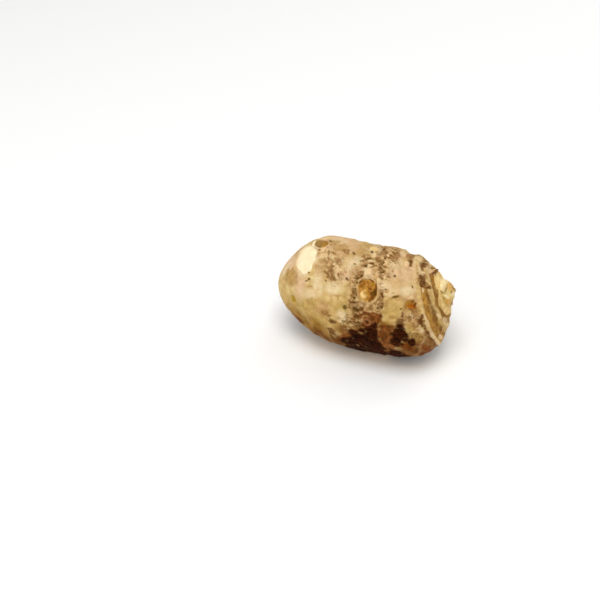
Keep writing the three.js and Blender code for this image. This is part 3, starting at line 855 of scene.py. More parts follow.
outer_edge = crown_place - upper_shift - lower_shift
inner_edge = crown_place + inner_shift
plate_edge = crown_place + groove_shift - plate_shift
crest = np.maximum(bump(outer_edge - OUTER_CREST, 0.9), bump(inner_edge - INNER_CREST, 0.6))
ochre_band = step(outer_edge, *OCHRE_FROM) * (1 - step(crown_place - ochre_shift, *OCHRE_TO))
ochre_band *= 1 - 0.85 * between(TURN_DEGREES, 5, 25, 76, 94)  # it is faint on the upper side
plate = step(plate_edge, *PLATE_FROM)
groove = step(inner_edge, *GROOVE_FROM) * (1 - plate)
# The ochre band ends in painted shadow: a dark line where the inner ridge shades it.
ridge_shadow_strength = 0.85 + 0.6 * layered_noise(smooth, 4.0, 2, 251) - 0.5 * step(TURN_DEGREES, 135, 160)
painted_ridge_shadow = bump(crown_place - BAND_END, 0.5) * ridge_shadow_strength
print("the crown takes", int((X[:, 0] > CROWN[0, 0]).sum()), "rows")

# %% [markdown]
# The height of each point is a sum, in millimetres. Slow waves and dimples are everywhere, and coarse grain
# only in the rough bands. Skin that is left stands proud by its own thickness, with its fibres on it. Pits
# are sunk, and the crown's ridges end in thin broken lips. Near the crown, the upper side lies a little lower
# than the solid.

# %% Height of the skin
FLECK_SIZE, FIBRE_SIZE = 1.1, 1.0
SCRAP_AT, SCRAP_HIGH, SCRAP_SIZE = (437, 270), 1.5, 0.8  # a scrap stands up on the inner ridge
UPPER_SIDE, UPPER_REACH = 28, 45  # turn of the upper side's middle, and how far round it fades
SUNK = [(67.0, 4.0, 1.1), (76.6, 2.4, 1.6)]  # place, half width and depth of two shallow dips up there
grain = layered_noise(straight * (0.6, 1, 1), FLECK_SIZE, 2, 301)
fibres = layered_noise(straight * (0.16, 1, 1), FIBRE_SIZE, 2, 311)
slow = layered_noise(smooth, 4.5, 2, 321)
flecks = step(rough * grain, 0.08, 0.32)
# Specks sit in the low grain of the rough bands: sunk, and darkened by dirt and painted shadow.
specks_and_shadow = step(-rough * grain, 0.08, 0.32)
streaks = np.clip(0.5 + layered_noise(straight * (1, 0.22, 0.22), 3.0, 3, 316), 0, 1)

dimples = layered_noise(smooth, 2.2, 3, 326)
fine = 0.05 * slow + 0.05 * dimples + 0.014 * grain
fine += rough * (0.16 * grain + 0.08 * slow) + 0.1 * flecks - 0.08 * specks_and_shadow
fine += patch["umber_and_shadow"] * (0.13 + 0.07 * fibres + 0.03 * grain)
fine += (1 - patch["umber_and_shadow"]) * np.maximum(patch["brown"], patch["dark"]) * (0.08 + 0.05 * grain)
fine += patch["russet"] * (0.05 + 0.05 * grain)
fine -= 0.18 * pit_holes
lips = bump(outer_edge - OUTER_CREST - 0.4, 0.5) + bump(crown_place - INNER_CREST - 0.1, 0.36)
fine += lips * (0.2 + 0.14 * layered_noise(smooth, 2.2, 2, 331))
fine += ochre_band * 0.04 * layered_noise(straight * (1, 0.4, 0.4), 1.2, 2, 341)
fine += plate * 0.14 * layered_noise(smooth, 1.8, 2, 346)
fine += SCRAP_HIGH * spot(seen_at(*SCRAP_AT), SCRAP_SIZE)

upper_side = bump((TURN_DEGREES + 180) % 360 - 180 - UPPER_SIDE, UPPER_REACH)
sunk = upper_side * sum(deep * bump(X - at, half_width) for at, half_width, deep in SUNK)
height = large_relief(X, TURN) + scar_height + fine - sunk
print("relief from", round(height.min(), 2), "to", round(height.max(), 2), "mm")

# %% [markdown]
# ## The scraped patch and the flat spot
# A slip of the knife took off a thin slice near the root end. Each facet of it is a plane a little under the
# skin, and what lies beyond it is pushed back onto it. The corm's own weight rests on a small flat spot, made
# the same way with the surface it lies on.

# %% Scraped patch, flat spot
PATCH_AT = 18.4
PATCH_TURNS = (51, 65, 79)
PATCH_DEPTH = 0.34

skin = skin_points(X, R, TURN, OUT_X, OUT_R, height)
scraped_off = np.zeros_like(X)
for facet_turn in PATCH_TURNS:
    facet = at_place(PATCH_AT, facet_turn)
    out = smooth_normal[facet]
    beyond = np.clip((skin - smooth[facet]) @ out + PATCH_DEPTH, 0, None)
    skin -= beyond[..., None] * out
    scraped_off = np.maximum(scraped_off, beyond)
patch["flesh"] = np.maximum(patch["flesh"], step(scraped_off, 0.04, 0.12))
skin[..., 2] = np.maximum(skin[..., 2], 0)
print("flat spot", (skin[..., 2] == 0).sum(), "points, scraped", (scraped_off > 0).sum(), "points")

# %% [markdown]
# Dirt and dry tissue stay in the low places, and the colour darkens them further as painted shade. How
# low a point lies is the average height of its neighbours less its own height, on two scales.

# %% Low places
def lowness(heights, reach):
    """Average height at this many grid steps forwards, back and to both sides, less the own height."""
    round_pair = np.roll(heights, reach, axis=1) + np.roll(heights, -reach, axis=1)
    padded = np.pad(heights, ((reach, reach), (0, 0)), mode="edge")
    along_pair = padded[2 * reach:] + padded[:-2 * reach]
    return (round_pair + along_pair) / 4 - heights


def low_share(near, far):
    """One half, plus 3 times near's lowness at 1 step and twice far's at 3 steps, kept from 0 to 1."""
    return np.clip(0.5 + 3 * lowness(near, 1) + 2 * lowness(far, 3), 0, 1)


low_place = low_share(fine, fine + scar_height)
print("low places average", round(float(low_place.mean()), 2))

# %% [markdown]
# ## The skin's mesh
# Rows and columns of points become quads, and a fan of triangles closes either end. Each mask goes along as
# an attribute, a number for each point, and so does the point's place on the straightened corm, which lets a
# pattern in the material run along the corm.

# %% Mesh from a grid
def grid_mesh(name, grid, first_pole, last_pole, masks, vectors):
    """Closed mesh of a grid of rows, with a pole before the first row and after the last, faces outwards."""
    rows, columns = grid.shape[:2]
    points = np.concatenate([[first_pole], grid.reshape(-1, 3), [last_pole]]) * MM
    index = 1 + np.arange(rows * columns).reshape(rows, columns)
    following = np.roll(index, -1, axis=1)
    quads = np.stack([index[:-1], following[:-1], following[1:], index[1:]], -1).reshape(-1, 4)
    first_fan = np.stack([np.zeros(columns, int), following[0], index[0]], -1)
    last_fan = np.stack([np.full(columns, len(points) - 1), index[-1], following[-1]], -1)
    mesh = bpy.data.meshes.new(name)
    mesh.from_pydata(points, [], quads.tolist() + first_fan.tolist() + last_fan.tolist())
    for label, values in masks.items():
        layer = mesh.attributes.new(label, "FLOAT", "POINT")
        ends = [[values[0].mean()], values.ravel(), [values[-1].mean()]]
        layer.data.foreach_set("value", np.concatenate(ends).astype(np.float32))
    for label, values in vectors.items():
        layer = mesh.attributes.new(label, "FLOAT_VECTOR", "POINT")
        ends = [[values[0].mean(0)], values.reshape(-1, 3), [values[-1].mean(0)]]
        layer.data.foreach_set("vector", (np.concatenate(ends) * MM).astype(np.float32).ravel())
    mesh.shade_smooth()
    return new_object(name, mesh)


def pole(x):
    """Point of the axis at a place, where the skin closes."""
    middle, _, _ = ring_frame(np.array([x]), np.zeros(1))
    return set_in_frame(middle)[0]


skin_masks = dict(
    **tones, **patch,
    rough=rough, flecks=flecks, specks_and_shadow=specks_and_shadow, streaks=streaks, pit=pit_holes, low=low_place,
    crest=crest, ochre=ochre_band, groove=groove, plate=plate, painted_ridge_shadow=painted_ridge_shadow,
    scar=1 - step(scar_share, 0.9, 1.0), scar_rings=scar_rings, scar_rim=scar_rim,
    root_ring=root_ring, root_hole=root_hole,
)
corm_skin = grid_mesh("corm_skin", skin, pole(0.0), pole(CROWN_MIDDLE), skin_masks, {"straight": straight})
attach(corm_skin, "root")
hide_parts("corm")
print(corm_skin.name, len(corm_skin.data.polygons), "faces")

# %% [markdown]
# ## The torn shoot
# The shoot was twisted off and left a stub of torn leaf bases on the crown. It is an uneven peg under four
# leaning planes: the wall rises until it meets the lowest of them, and the top follows that plane to the
# middle. Wall and top are one grid, so the torn edge has no gap.

# %% Torn shoot
STUB_WIDE, STUB_DEEP = 6.5, 7.8
STUB_LEVELS = np.array([[-3.4, 1.0], [-0.4, 1.0], [1.4, 0.9], [3.0, 0.78], [7.0, 0.6]])
STUB_UP, STUB_FRONT = -1.2, 1.7
TORN_FACES = [
    # turn, lean, height on the stub's axis
    (8, 26, 4.6),
    (187, 35, 4.3),
    (82, 31, 4.5),
    (262, 38, 5.0),
]
STUB_COLUMNS, WALL_ROWS, TOP_ROWS = 160, 34, 56


def torn_height(wide, deep):
    """Height of the lowest torn plane over a place of the stub's cross-section."""
    planes = []
    for turn_degrees, lean, high_on_axis in TORN_FACES:
        turn, slope = math.radians(turn_degrees), math.tan(math.radians(lean))
        planes.append(high_on_axis - slope * (wide * math.cos(turn) + deep * math.sin(turn)))
    return np.min(planes, axis=0)


def stub_wall(turn, level):
    """Place on the wall: an ellipse that narrows upwards, five times wavy and notched by the torn leaves."""
    share = np.interp(level, STUB_LEVELS[:, 0], STUB_LEVELS[:, 1])
    share = share * (1 + 0.04 * np.sin(5 * turn + 0.5 * level) + 0.02 * np.sin(13 * turn))
    return STUB_WIDE * share * np.cos(turn), STUB_DEEP * share * np.sin(turn)


def stub_grid():
    """Rows up the wall to the torn edge, then inwards over the top, in the stub's own three directions."""
    turn = np.linspace(0, 2 * math.pi, STUB_COLUMNS, endpoint=False)
    levels = np.linspace(-0.4, 7, 500)[:, None]
    edge = levels[(levels >= torn_height(*stub_wall(turn, levels))).argmax(axis=0), 0]
    bottom = STUB_LEVELS[0, 0]
    level = bottom + np.linspace(0, 1, WALL_ROWS)[:, None] * (edge - bottom)
    wide, deep = stub_wall(turn, level)
    inwards = np.linspace(1, 0, TOP_ROWS + 2)[1:-1, None]
    top_wide, top_deep = inwards * wide[-1], inwards * deep[-1]
    top = np.stack([top_wide, top_deep, torn_height(top_wide, top_deep)], -1)
    return np.concatenate([np.stack([wide, deep, level], -1), top])


stub_local = stub_grid()
middle, forward, sideways = (part[0] for part in ring_frame(np.array([CROWN_MIDDLE]), np.zeros(1)))
stub_axes = np.stack([sideways, ACROSS, forward])
stub_origin = middle + STUB_UP * sideways + STUB_FRONT * ACROSS
stub = set_in_frame(stub_local @ stub_axes + stub_origin)
print("the stub stands", round(stub_local[..., 2].max(), 1), "mm over the crown")

# %% [markdown]
# A torn face is not a clean plane. Fibres run up the shoot, so the wall is streaked along its height, and
# the top has low steps where one leaf base ends and the next begins. The marks of the faces are placed by
# their pixels, as on the skin.

# %% Torn surface
STREAK_STRETCH = 0.25
LEAF_STEP_RATE, LEAF_CENTRE = 2.1, (-2.5, 1.0)  # waves per millimetre times 2 pi, and where they start
stub_stretched = stub_local * (1, 1, STREAK_STRETCH)
torn_streaks = layered_noise(stub_stretched, 1.3, 3, 401)
torn_lumps = layered_noise(stub, 2.6, 3, 411)
from_centre = np.hypot(*np.moveaxis(stub_local[..., :2] - LEAF_CENTRE, -1, 0))
leaf_base_steps = np.sin(LEAF_STEP_RATE * from_centre + torn_lumps)
stub_height = 0.16 * torn_streaks + 0.18 * torn_lumps + 0.12 * leaf_base_steps
stub += stub_height[..., None] * grid_normals(stub)
stub_pixels = pixels_of(stub)
stub_in_view = step(grid_normals(stub) @ back, -0.1, 0.15)

TORN_MARKS = {
    "cream": [
        (440.5, 284, 5.6, 6.6, 10), (445, 283, 3, 2.4), (446.5, 296.5, 3, 1.6, 40), (453.4, 294.4, 1.4, 2),
    ],
    "orange": [(449.5, 286.5, 3.4, 4.4, 10), (447.5, 302, 3, 2.4)],
    "yellow": [(445.4, 298.6, 4.6, 5, 20), (443, 293.6, 2.4, 2.6)],
    "brown": [
        (454.2, 288.2, 1.4, 3.2, -27), (455.6, 291.5, 0.8, 2), (451.6, 291.8, 1, 1.3),
        (441, 291.6, 3.6, 0.7, 28), (443.4, 299.6, 0.9, 1.6, -20), (446, 290, 0.8, 3.6, 20),
        (451.5, 303, 0.8, 2.4, 20),
    ],
}
torn_masks = {name: marks(places, stub_pixels, stub_in_view) for name, places in TORN_MARKS.items()}
torn_masks["low"] = low_share(stub_height, stub_height)
torn_masks["foot"] = 1 - step(stub_local[..., 2], 0.0, 1.4)
stub_bottom = set_in_frame(stub_origin + STUB_LEVELS[0, 0] * forward)
stub_top = stub[-1].mean(0)
upwards_first = {"straight": stub_local[..., [2, 0, 1]]}
torn_shoot = grid_mesh("torn_shoot", stub, stub_bottom, stub_top, torn_masks, upwards_first)
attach(torn_shoot, "root")
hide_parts("corm")
print(torn_shoot.name, len(torn_shoot.data.polygons), "faces")

# %% [markdown]
# ## Dry root fibres
# Thin dry roots still cling where brown skin is left and along the grainy rings. Each fibre is a thin tube
# which starts on the skin, lies almost flat on it, bends to one side and lifts at its end. All fibres are
# worked out together: the first number of each point counts fibres, then rings along one, then corners.

# %% Dry root fibres
FIBRES, RINGS_EACH, CORNERS = 300, 7, 4
LOWEST_Z, FLATTEST_DOWN = 4.0, -0.7  # no fibre reaches under the corm
NARROWEST = 6.0  # radius of the thinnest ring that has fibres
weight = 0.03 + patch["umber_and_shadow"] + 0.5 * rough + 0.3 * ochre_band
weight = weight * (skin[..., 2] > LOWEST_Z) * (smooth_normal[..., 2] > FLATTEST_DOWN) * (1 - patch["flesh"])
weight = weight * (patch["amber"] < 0.1) * (R > NARROWEST)
starts = draw.choice(weight.size, FIBRES, replace=False, p=weight.ravel() / weight.sum())
rows, columns = np.unravel_index(starts, weight.shape)
heading = draw.uniform(0, 2 * math.pi, (FIBRES, 1))
ahead, beside = ahead_direction[rows, columns], round_direction[rows, columns]
towards = np.cos(heading) * ahead + np.sin(heading) * beside
sideways_there = np.cos(heading) * beside - np.sin(heading) * ahead
length = draw.uniform(1.2, 3.6, (FIBRES, 1, 1))
bend = draw.uniform(-0.5, 0.5, (FIBRES, 1, 1))
lift = draw.uniform(0.0, 0.16, (FIBRES, 1, 1))
along = np.linspace(0, 1, RINGS_EACH)[None, :, None]
curl = bend * np.sin(2.6 * along) * along
outwards_there = smooth_normal[rows, columns][:, None]
line = skin[rows, columns][:, None] - 0.05 * outwards_there
line = line + length * along * towards[:, None] + length * curl * sideways_there[:, None]
line = line + length * lift * along**2 * outwards_there
thick = draw.uniform(0.045, 0.08, (FIBRES, 1, 1)) * (1 - 0.6 * along)
corner = np.arange(CORNERS) / CORNERS * 2 * math.pi
round_it = np.cos(corner)[:, None] * outwards_there[:, :, None]
round_it = round_it + np.sin(corner)[:, None] * sideways_there[:, None, None]
tubes = line[:, :, None] + thick[..., None] * round_it
print(tubes.shape, "fibres, rings and corners")

# %% [markdown]
# The tubes become one mesh. Each ring is joined to the next by a quad for each corner, and one quad closes
# either end.

# %% Mesh of the fibres
each = RINGS_EACH * CORNERS
first_point = (np.arange(FIBRES) * each)[:, None, None]
ring_start = np.arange(RINGS_EACH - 1)[None, :, None] * CORNERS
here, after = np.arange(CORNERS), (np.arange(CORNERS) + 1) % CORNERS
base = first_point + ring_start
walls = np.stack([base + here, base + here + CORNERS, base + after + CORNERS, base + after], -1)
start_cap = first_point[:, 0] + here
end_cap = first_point[:, 0] + each - CORNERS + here[::-1]
fibre_mesh = bpy.data.meshes.new("root_fibres")
fibre_faces = np.concatenate([walls.reshape(-1, 4), start_cap, end_cap])
fibre_mesh.from_pydata(tubes.reshape(-1, 3) * MM, [], fibre_faces.tolist())
fibre_mesh.shade_smooth()
root_fibres = new_object("root_fibres", fibre_mesh)
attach(root_fibres, "root")
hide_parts("corm")
print(root_fibres.name, len(fibre_mesh.polygons), "faces")

# %% [markdown]
# ## Material helpers
# A material is a small program of nodes. These helpers add a node and wire it in one line, so that a recipe
# reads from top to bottom. Colours are given in the usual 0 to 255 steps and turned into light values.

# %% Node helpers
def linear(red, green, blue):
    """Colour in 0 to 255 steps as amounts of light: the screen's curve is undone."""
    share = np.array([red, green, blue]) / 255
    light = np.where(share <= 0.04045, share / 12.92, ((share + 0.055) / 1.055) ** 2.4)
    return (*map(float, light), 1.0)


def add(tree, kind, sockets, **settings):
    """Adds a node, applies its settings, and sets or wires each of its named sockets."""
    node = tree.nodes.new(kind)
    for name, value in settings.items():
        setattr(node, name, value)
    for name, value in sockets.items():
        if isinstance(value, bpy.types.NodeSocket):
            tree.links.new(value, node.inputs[name])
        else:
            node.inputs[name].default_value = value
    return node


def mixed(tree, share, first, second):
    """Colour between the first and the second by a share."""
    return add(tree, "ShaderNodeMix", {0: share, 6: first, 7: second}, data_type="RGBA").outputs[2]


def calc(tree, operation, first, second):
    """One step of arithmetic with two numbers, such as POWER or MAXIMUM."""
    return add(tree, "ShaderNodeMath", {0: first, 1: second}, operation=operation).outputs[0]


def plus(tree, first, second):
    """Sum of two numbers."""
    return calc(tree, "ADD", first, second)


def times(tree, first, *others):
    """Product of two or more numbers."""
    for other in others:
        first = calc(tree, "MULTIPLY", first, other)
    return first


def ramp(tree, value, start, end, top=1.0, way="LINEAR"):
    """0 before start, then evenly up to top at the end."""
    sockets = {"Value": value, "From Min": start, "From Max": end, "To Max": top}
    return add(tree, "ShaderNodeMapRange", sockets, interpolation_type=way).outputs[0]


def noise(tree, vector, millimetres, detail=3.0):
    """Noise whose spots are about this large, from 0 to 1."""
    sockets = {"Vector": vector, "Scale": 1 / (millimetres * MM), "Detail": detail}
    return add(tree, "ShaderNodeTexNoise", sockets).outputs[0]


def mask_of(tree, name):
    """The number that the mesh carries under a name."""
    return add(tree, "ShaderNodeAttribute", {}, attribute_name=name).outputs["Fac"]


def place_of(tree):
    """Place on the object, which does not slide when the object moves."""
    return add(tree, "ShaderNodeTexCoord", {}).outputs["Object"]


def new_group(name, inputs, outputs):
    """Empty node group with named inputs and outputs."""
    group = bpy.data.node_groups.new(name, "ShaderNodeTree")
    for label, kind, value in inputs:
        socket = group.interface.new_socket(label, in_out="INPUT", socket_type=kind)
        socket.default_value = value
    for label, kind in outputs:
        group.interface.new_socket(label, in_out="OUTPUT", socket_type=kind)
    entry = group.nodes.new("NodeGroupInput").outputs
    way_out = group.nodes.new("NodeGroupOutput")
    return group, entry, way_out


def use_group(tree, group, sockets):
    """Places a group in a tree and sets its inputs."""
    return add(tree, "ShaderNodeGroup", sockets, node_tree=group).outputs


FLOAT, COLOUR = "NodeSocketFloat", "NodeSocketColor"
print("cream is", [round(v, 2) for v in linear(235, 215, 165)])

# %% [markdown]
# ## Shared effects
# Three effects are shared by the finishes of this corm. A patch has a broken edge that is finer than the
# mesh. A tone is never flat but mottled on two scales. Skin and torn leaves have fibres that run along them.

# %% Broken edge
edge_group, entry, way_out = new_group(
    "broken edge",
    [("Mask", FLOAT, 0.0), ("Breakage", FLOAT, 0.3), ("Size", FLOAT, 900.0)],
    [("Mask", FLOAT)],
)
edge_noise = add(edge_group, "ShaderNodeTexNoise", {
    "Vector": place_of(edge_group), "Scale": entry["Size"], "Detail": 4.0, "Roughness": 0.6,
})
centred = calc(edge_group, "SUBTRACT", edge_noise.outputs[0], 0.5)
edge_sum = plus(edge_group, entry["Mask"], times(edge_group, centred, entry["Breakage"]))
edge_group.links.new(ramp(edge_group, edge_sum, 0.14, 0.86, way="SMOOTHSTEP"), way_out.inputs["Mask"])
print("group", edge_group.name)

# %% [markdown]
# A tone goes from its light to its dark colour by wide noise plus a weaker noise with spots 4.3 times finer.

# %% Mottled tone
mottle_group, entry, way_out = new_group(
    "mottled tone",
    [("Light", COLOUR, (1, 1, 1, 1)), ("Dark", COLOUR, (0, 0, 0, 1)), ("Size", FLOAT, 400.0)],
    [("Colour", COLOUR)],
)
place = place_of(mottle_group)
wide_noise = add(mottle_group, "ShaderNodeTexNoise", {"Vector": place, "Scale": entry["Size"], "Detail": 4.0})
fine_size = times(mottle_group, entry["Size"], 4.3)
fine_noise = add(mottle_group, "ShaderNodeTexNoise", {"Vector": place, "Scale": fine_size, "Detail": 2.0})
both = plus(mottle_group, wide_noise.outputs[0], times(mottle_group, fine_noise.outputs[0], 0.4))
mottled = mixed(mottle_group, ramp(mottle_group, both, 0.5, 0.9), entry["Light"], entry["Dark"])
mottle_group.links.new(mottled, way_out.inputs["Colour"])
print("group", mottle_group.name)

# %% [markdown]
# Fibres are noise drawn out eight times along the corm. They read its straightened place, so they bend
# with it.

# %% Fibres
fibre_group, entry, way_out = new_group(
    "fibres",
    [("Size", FLOAT, 1200.0)],
    [("Mask", FLOAT)],
)
straight_place = add(fibre_group, "ShaderNodeAttribute", {}, attribute_name="straight").outputs["Vector"]
stretched = add(fibre_group, "ShaderNodeMapping", {"Vector": straight_place, "Scale": (0.12, 1.0, 1.0)})
fibre_noise = add(fibre_group, "ShaderNodeTexNoise", {
    "Vector": stretched.outputs[0], "Scale": entry["Size"], "Detail": 3.0, "Distortion": 0.4,
})
fibre_share = ramp(fibre_group, fibre_noise.outputs[0], 0.32, 0.68)
fibre_group.links.new(fibre_share, way_out.inputs["Mask"])
print("group", fibre_group.name)

# %% [markdown]
# ## The skin's material
# The recipe paints from the inside out. Peeled flesh is cream, tan and olive in soft zones, with painted
# shade towards the lower side and painted highlights among the light zones. Over it come grainy dirt and
# painted shade in the low places, then what is left of the brown skin in crisp patches, and last the pits.
# Each tone is mottled between a light and a dark colour, both in 0 to 255 steps.

# %% Tones of the skin
CREAM, CREAM_DARK = (222, 194, 134), (186, 151, 88)
SOFT_ZONES = [
    # mask, light tone, dark tone, size of its mottling in millimetres, strength
    ("olive", (200, 170, 98), (150, 116, 52), 2.4, 0.8),
    ("tan", (206, 166, 118), (158, 118, 72), 2.2, 0.85),
    ("pink", (230, 198, 162), (202, 166, 126), 2.6, 0.9),
    ("rough", (208, 170, 116), (152, 112, 62), 1.3, 0.7),
    # Painted shade, darker towards the lower side.
    ("painted_shade", (160, 118, 46), (120, 80, 24), 3.0, 0.95),
    # Painted shadow, near black brown.
    ("painted_shadow", (120, 68, 12), (76, 34, 2), 2.4, 1.0),
    # Light flesh, partly painted highlights.
    ("light_flesh_and_highlight", (232, 211, 169), (212, 185, 139), 3.0, 0.9),
]
PATCHES = [
    # mask, light tone, dark tone, size of its mottling in mm, breakage of its edge, strength
    ("stain", (188, 148, 86), (148, 108, 52), 1.6, 0.4, 0.75),
    ("yellow", (180, 146, 52), (140, 104, 22), 1.6, 0.3, 0.95),
    ("ochre", (186, 138, 58), (122, 74, 20), 2.2, 0.4, 0.92),
    ("plate", (240, 210, 146), (198, 160, 92), 1.5, 0.4, 0.9),
    ("groove", (168, 120, 50), (116, 76, 24), 1.8, 0.5, 0.9),
    ("crest", (216, 186, 126), (178, 142, 82), 1.8, 0.5, 0.85),
    # Painted shadow under the crown's inner ridge.
    ("painted_ridge_shadow", (134, 88, 34), (92, 56, 18), 1.4, 0.9, 0.85),
    ("flesh", (248, 232, 194), (240, 218, 174), 4.0, 0.05, 1.0),
    ("flecks", (230, 198, 146), (210, 174, 120), 0.9, 0.5, 0.4),
    # Dirt and painted shadow in the low specks.
    ("specks_and_shadow", (138, 98, 46), (102, 66, 26), 0.9, 0.5, 0.55),
    ("brown", (180, 134, 80), (104, 66, 30), 1.1, 1.0, 0.76),
    ("russet", (146, 80, 26), (78, 32, 5), 1.3, 0.8, 0.93),
    ("scar", (184, 146, 84), (122, 86, 34), 1.6, 0.4, 0.9),
    ("scar_rings", (134, 94, 38), (92, 58, 18), 1.2, 0.6, 0.65),
    ("scar_rim", (226, 192, 142), (190, 152, 100), 1.4, 0.5, 0.6),
    ("dark", (124, 78, 34), (70, 36, 8), 1.1, 0.8, 0.88),
    # Dark brown skin, made near black by painted shadow.
    ("umber_and_shadow", (60, 22, 4), (14, 3, 1), 1.6, 0.6, 1.0),
    ("amber", (198, 142, 62), (136, 82, 16), 1.3, 0.1, 0.95),
    ("rust", (174, 122, 40), (118, 70, 10), 1.2, 0.7, 0.9),
    ("orange", (186, 104, 20), (112, 54, 2), 1.0, 0.7, 0.9),
    ("yellow_cream", (246, 218, 154), (222, 180, 100), 1.3, 0.5, 0.85),
    # Golden, partly a painted highlight.
    ("golden_and_highlight", (190, 142, 46), (148, 100, 24), 1.2, 0.5, 0.75),
    # Pale, partly painted highlights.
    ("pale", (236, 206, 156), (216, 182, 132), 1.3, 0.5, 0.85),
    ("burnt", (112, 62, 12), (58, 24, 4), 1.0, 0.5, 0.8),
    ("root_ring", (166, 114, 76), (120, 74, 42), 1.2, 0.5, 0.7),
    ("root_hole", (84, 50, 18), (52, 24, 6), 1.2, 0.3, 0.9),
    ("pit", (104, 72, 18), (62, 38, 6), 0.9, 0.4, 0.84),
]


print(len(SOFT_ZONES), "soft zones and", len(PATCHES), "kinds of patch")

# %% [markdown]
# Soft zones melt into each other, stirred by noise. Patches have broken edges. In the rough bands there are
# dark and light dots, and fibres shine a little where brown skin is left.

# %% Colour of the skin
STIRRING = 0.35  # how much noise stirs the borders of the soft zones
ZONE_EDGE, DOT_EDGE = (0.3, 0.85), (0.56, 0.7)  # where a soft zone and a dot set in and are full
STREAKS, DIRT_AND_SHADOW, DOTS, LIT_FIBRES = 0.36, 0.6, 0.75, 0.18  # how strongly these show


def mottle(tree, light, dark, millimetres):
    """Mottled tone of two colours in 0 to 255 steps."""
    sockets = {"Light": linear(*light), "Dark": linear(*dark), "Size": 1 / (millimetres * MM)}
    return use_group(tree, mottle_group, sockets)["Colour"]


def broken(tree, mask, breakage, millimetres=1.1):
    """Mask with a finely broken edge."""
    sockets = {"Mask": mask, "Breakage": breakage, "Size": 1 / (millimetres * MM)}
    return use_group(tree, edge_group, sockets)["Mask"]


def skin_colour(tree):
    """Colour of the skin, from the peeled flesh outwards."""
    colour = mottle(tree, CREAM, CREAM_DARK, 2.6)
    stirring = noise(tree, place_of(tree), 2.2)
    for name, light, dark, size, strength in SOFT_ZONES:
        stirred = plus(tree, mask_of(tree, name), times(tree, stirring, STIRRING))
        share = ramp(tree, stirred, *ZONE_EDGE, strength)
        colour = mixed(tree, share, colour, mottle(tree, light, dark, size))
    streaked = times(tree, mask_of(tree, "streaks"), STREAKS)
    colour = mixed(tree, streaked, colour, mottle(tree, (206, 168, 108), (184, 144, 84), 2.0))
    # Dirt and painted shade darken the low places of the rough bands.
    low_rough = times(tree, plus(tree, mask_of(tree, "rough"), 0.12), mask_of(tree, "low"), 1.1)
    dirt_and_shadow = times(tree, broken(tree, low_rough, 1.6, 0.7), DIRT_AND_SHADOW)
    dirt_and_shadow_tone = mottle(tree, (140, 98, 46), (104, 68, 26), 1.2)
    colour = mixed(tree, dirt_and_shadow, colour, dirt_and_shadow_tone)
    for dot_size, tone in ((0.75, linear(112, 76, 34)), (0.9, linear(228, 198, 146))):
        dots = ramp(tree, noise(tree, place_of(tree), dot_size, 1.0), *DOT_EDGE, DOTS)
        colour = mixed(tree, times(tree, dots, mask_of(tree, "rough")), colour, tone)
    for name, light, dark, size, breakage, strength in PATCHES:
        share = times(tree, broken(tree, mask_of(tree, name), breakage), strength)
        colour = mixed(tree, share, colour, mottle(tree, light, dark, size))
    streaks = use_group(tree, fibre_group, {"Size": 1 / (1.1 * MM)})["Mask"]
    left_skin = calc(tree, "MAXIMUM", mask_of(tree, "umber_and_shadow"), mask_of(tree, "russet"))
    lit = times(tree, left_skin, calc(tree, "POWER", streaks, 3.0), LIT_FIBRES)
    return mixed(tree, lit, colour, linear(120, 66, 22))


print("flesh goes from", CREAM, "to", CREAM_DARK)

# %% [markdown]
# The finish is more than colour. Cream flesh has a faint satin, brown skin is dull, and the dry fibres catch
# light. Relief finer than the mesh is a bump: a fine grain everywhere, stronger where the skin is rough, and
# fibres where brown skin is left. A little light also travels under the surface, as in all pale plant flesh.

# %% Finish of the skin
def finish(tree, colour, roughness, relief, distance):
    """Principled shader with colour, roughness and a bump, wired to the output."""
    bump_node = add(tree, "ShaderNodeBump", {"Height": relief, "Distance": distance, "Strength": 1.0})
    shader = add(tree, "ShaderNodeBsdfPrincipled", {
        "Base Color": colour,
        "Roughness": roughness,
        "Normal": bump_node.outputs[0],
        "Specular IOR Level": 0.02,
        "Subsurface Weight": 0.12,
        "Subsurface Scale": 0.003,
    })
    add(tree, "ShaderNodeOutputMaterial", {"Surface": shader.outputs[0]})


def new_material(name):
    """Empty material made of nodes."""
    material = bpy.data.materials.new(name)
    material.use_nodes = True
    material.node_tree.nodes.clear()
    return material


skin_material = new_material("peeled corm skin")
tree = skin_material.node_tree
object_place = place_of(tree)
fine_grain = noise(tree, object_place, 0.7, 4.0)
bark_fibres = use_group(tree, fibre_group, {"Size": 1 / (0.8 * MM)})["Mask"]
bark = calc(tree, "MAXIMUM", mask_of(tree, "umber_and_shadow"), mask_of(tree, "brown"))
relief = times(tree, fine_grain, plus(tree, 0.35, mask_of(tree, "rough")))
relief = plus(tree, relief, times(tree, bark_fibres, bark, 0.8))
dull = plus(tree, 0.52, times(tree, bark, 0.16))
roughness = plus(tree, dull, times(tree, calc(tree, "SUBTRACT", fine_grain, 0.5), 0.3))
finish(tree, skin_colour(tree), roughness, relief, 0.34 * MM)
corm_skin.data.materials.append(skin_material)
print(skin_material.name, "has", len(tree.nodes), "nodes")

# %% [markdown]
# The torn leaf bases are moist, pale and stringy inside, and dry to yellow and brown at their edges. The
# recipe is the skin's with fewer tones: a light ground with fibres, the marks of its faces, and brown in its
# hollows.

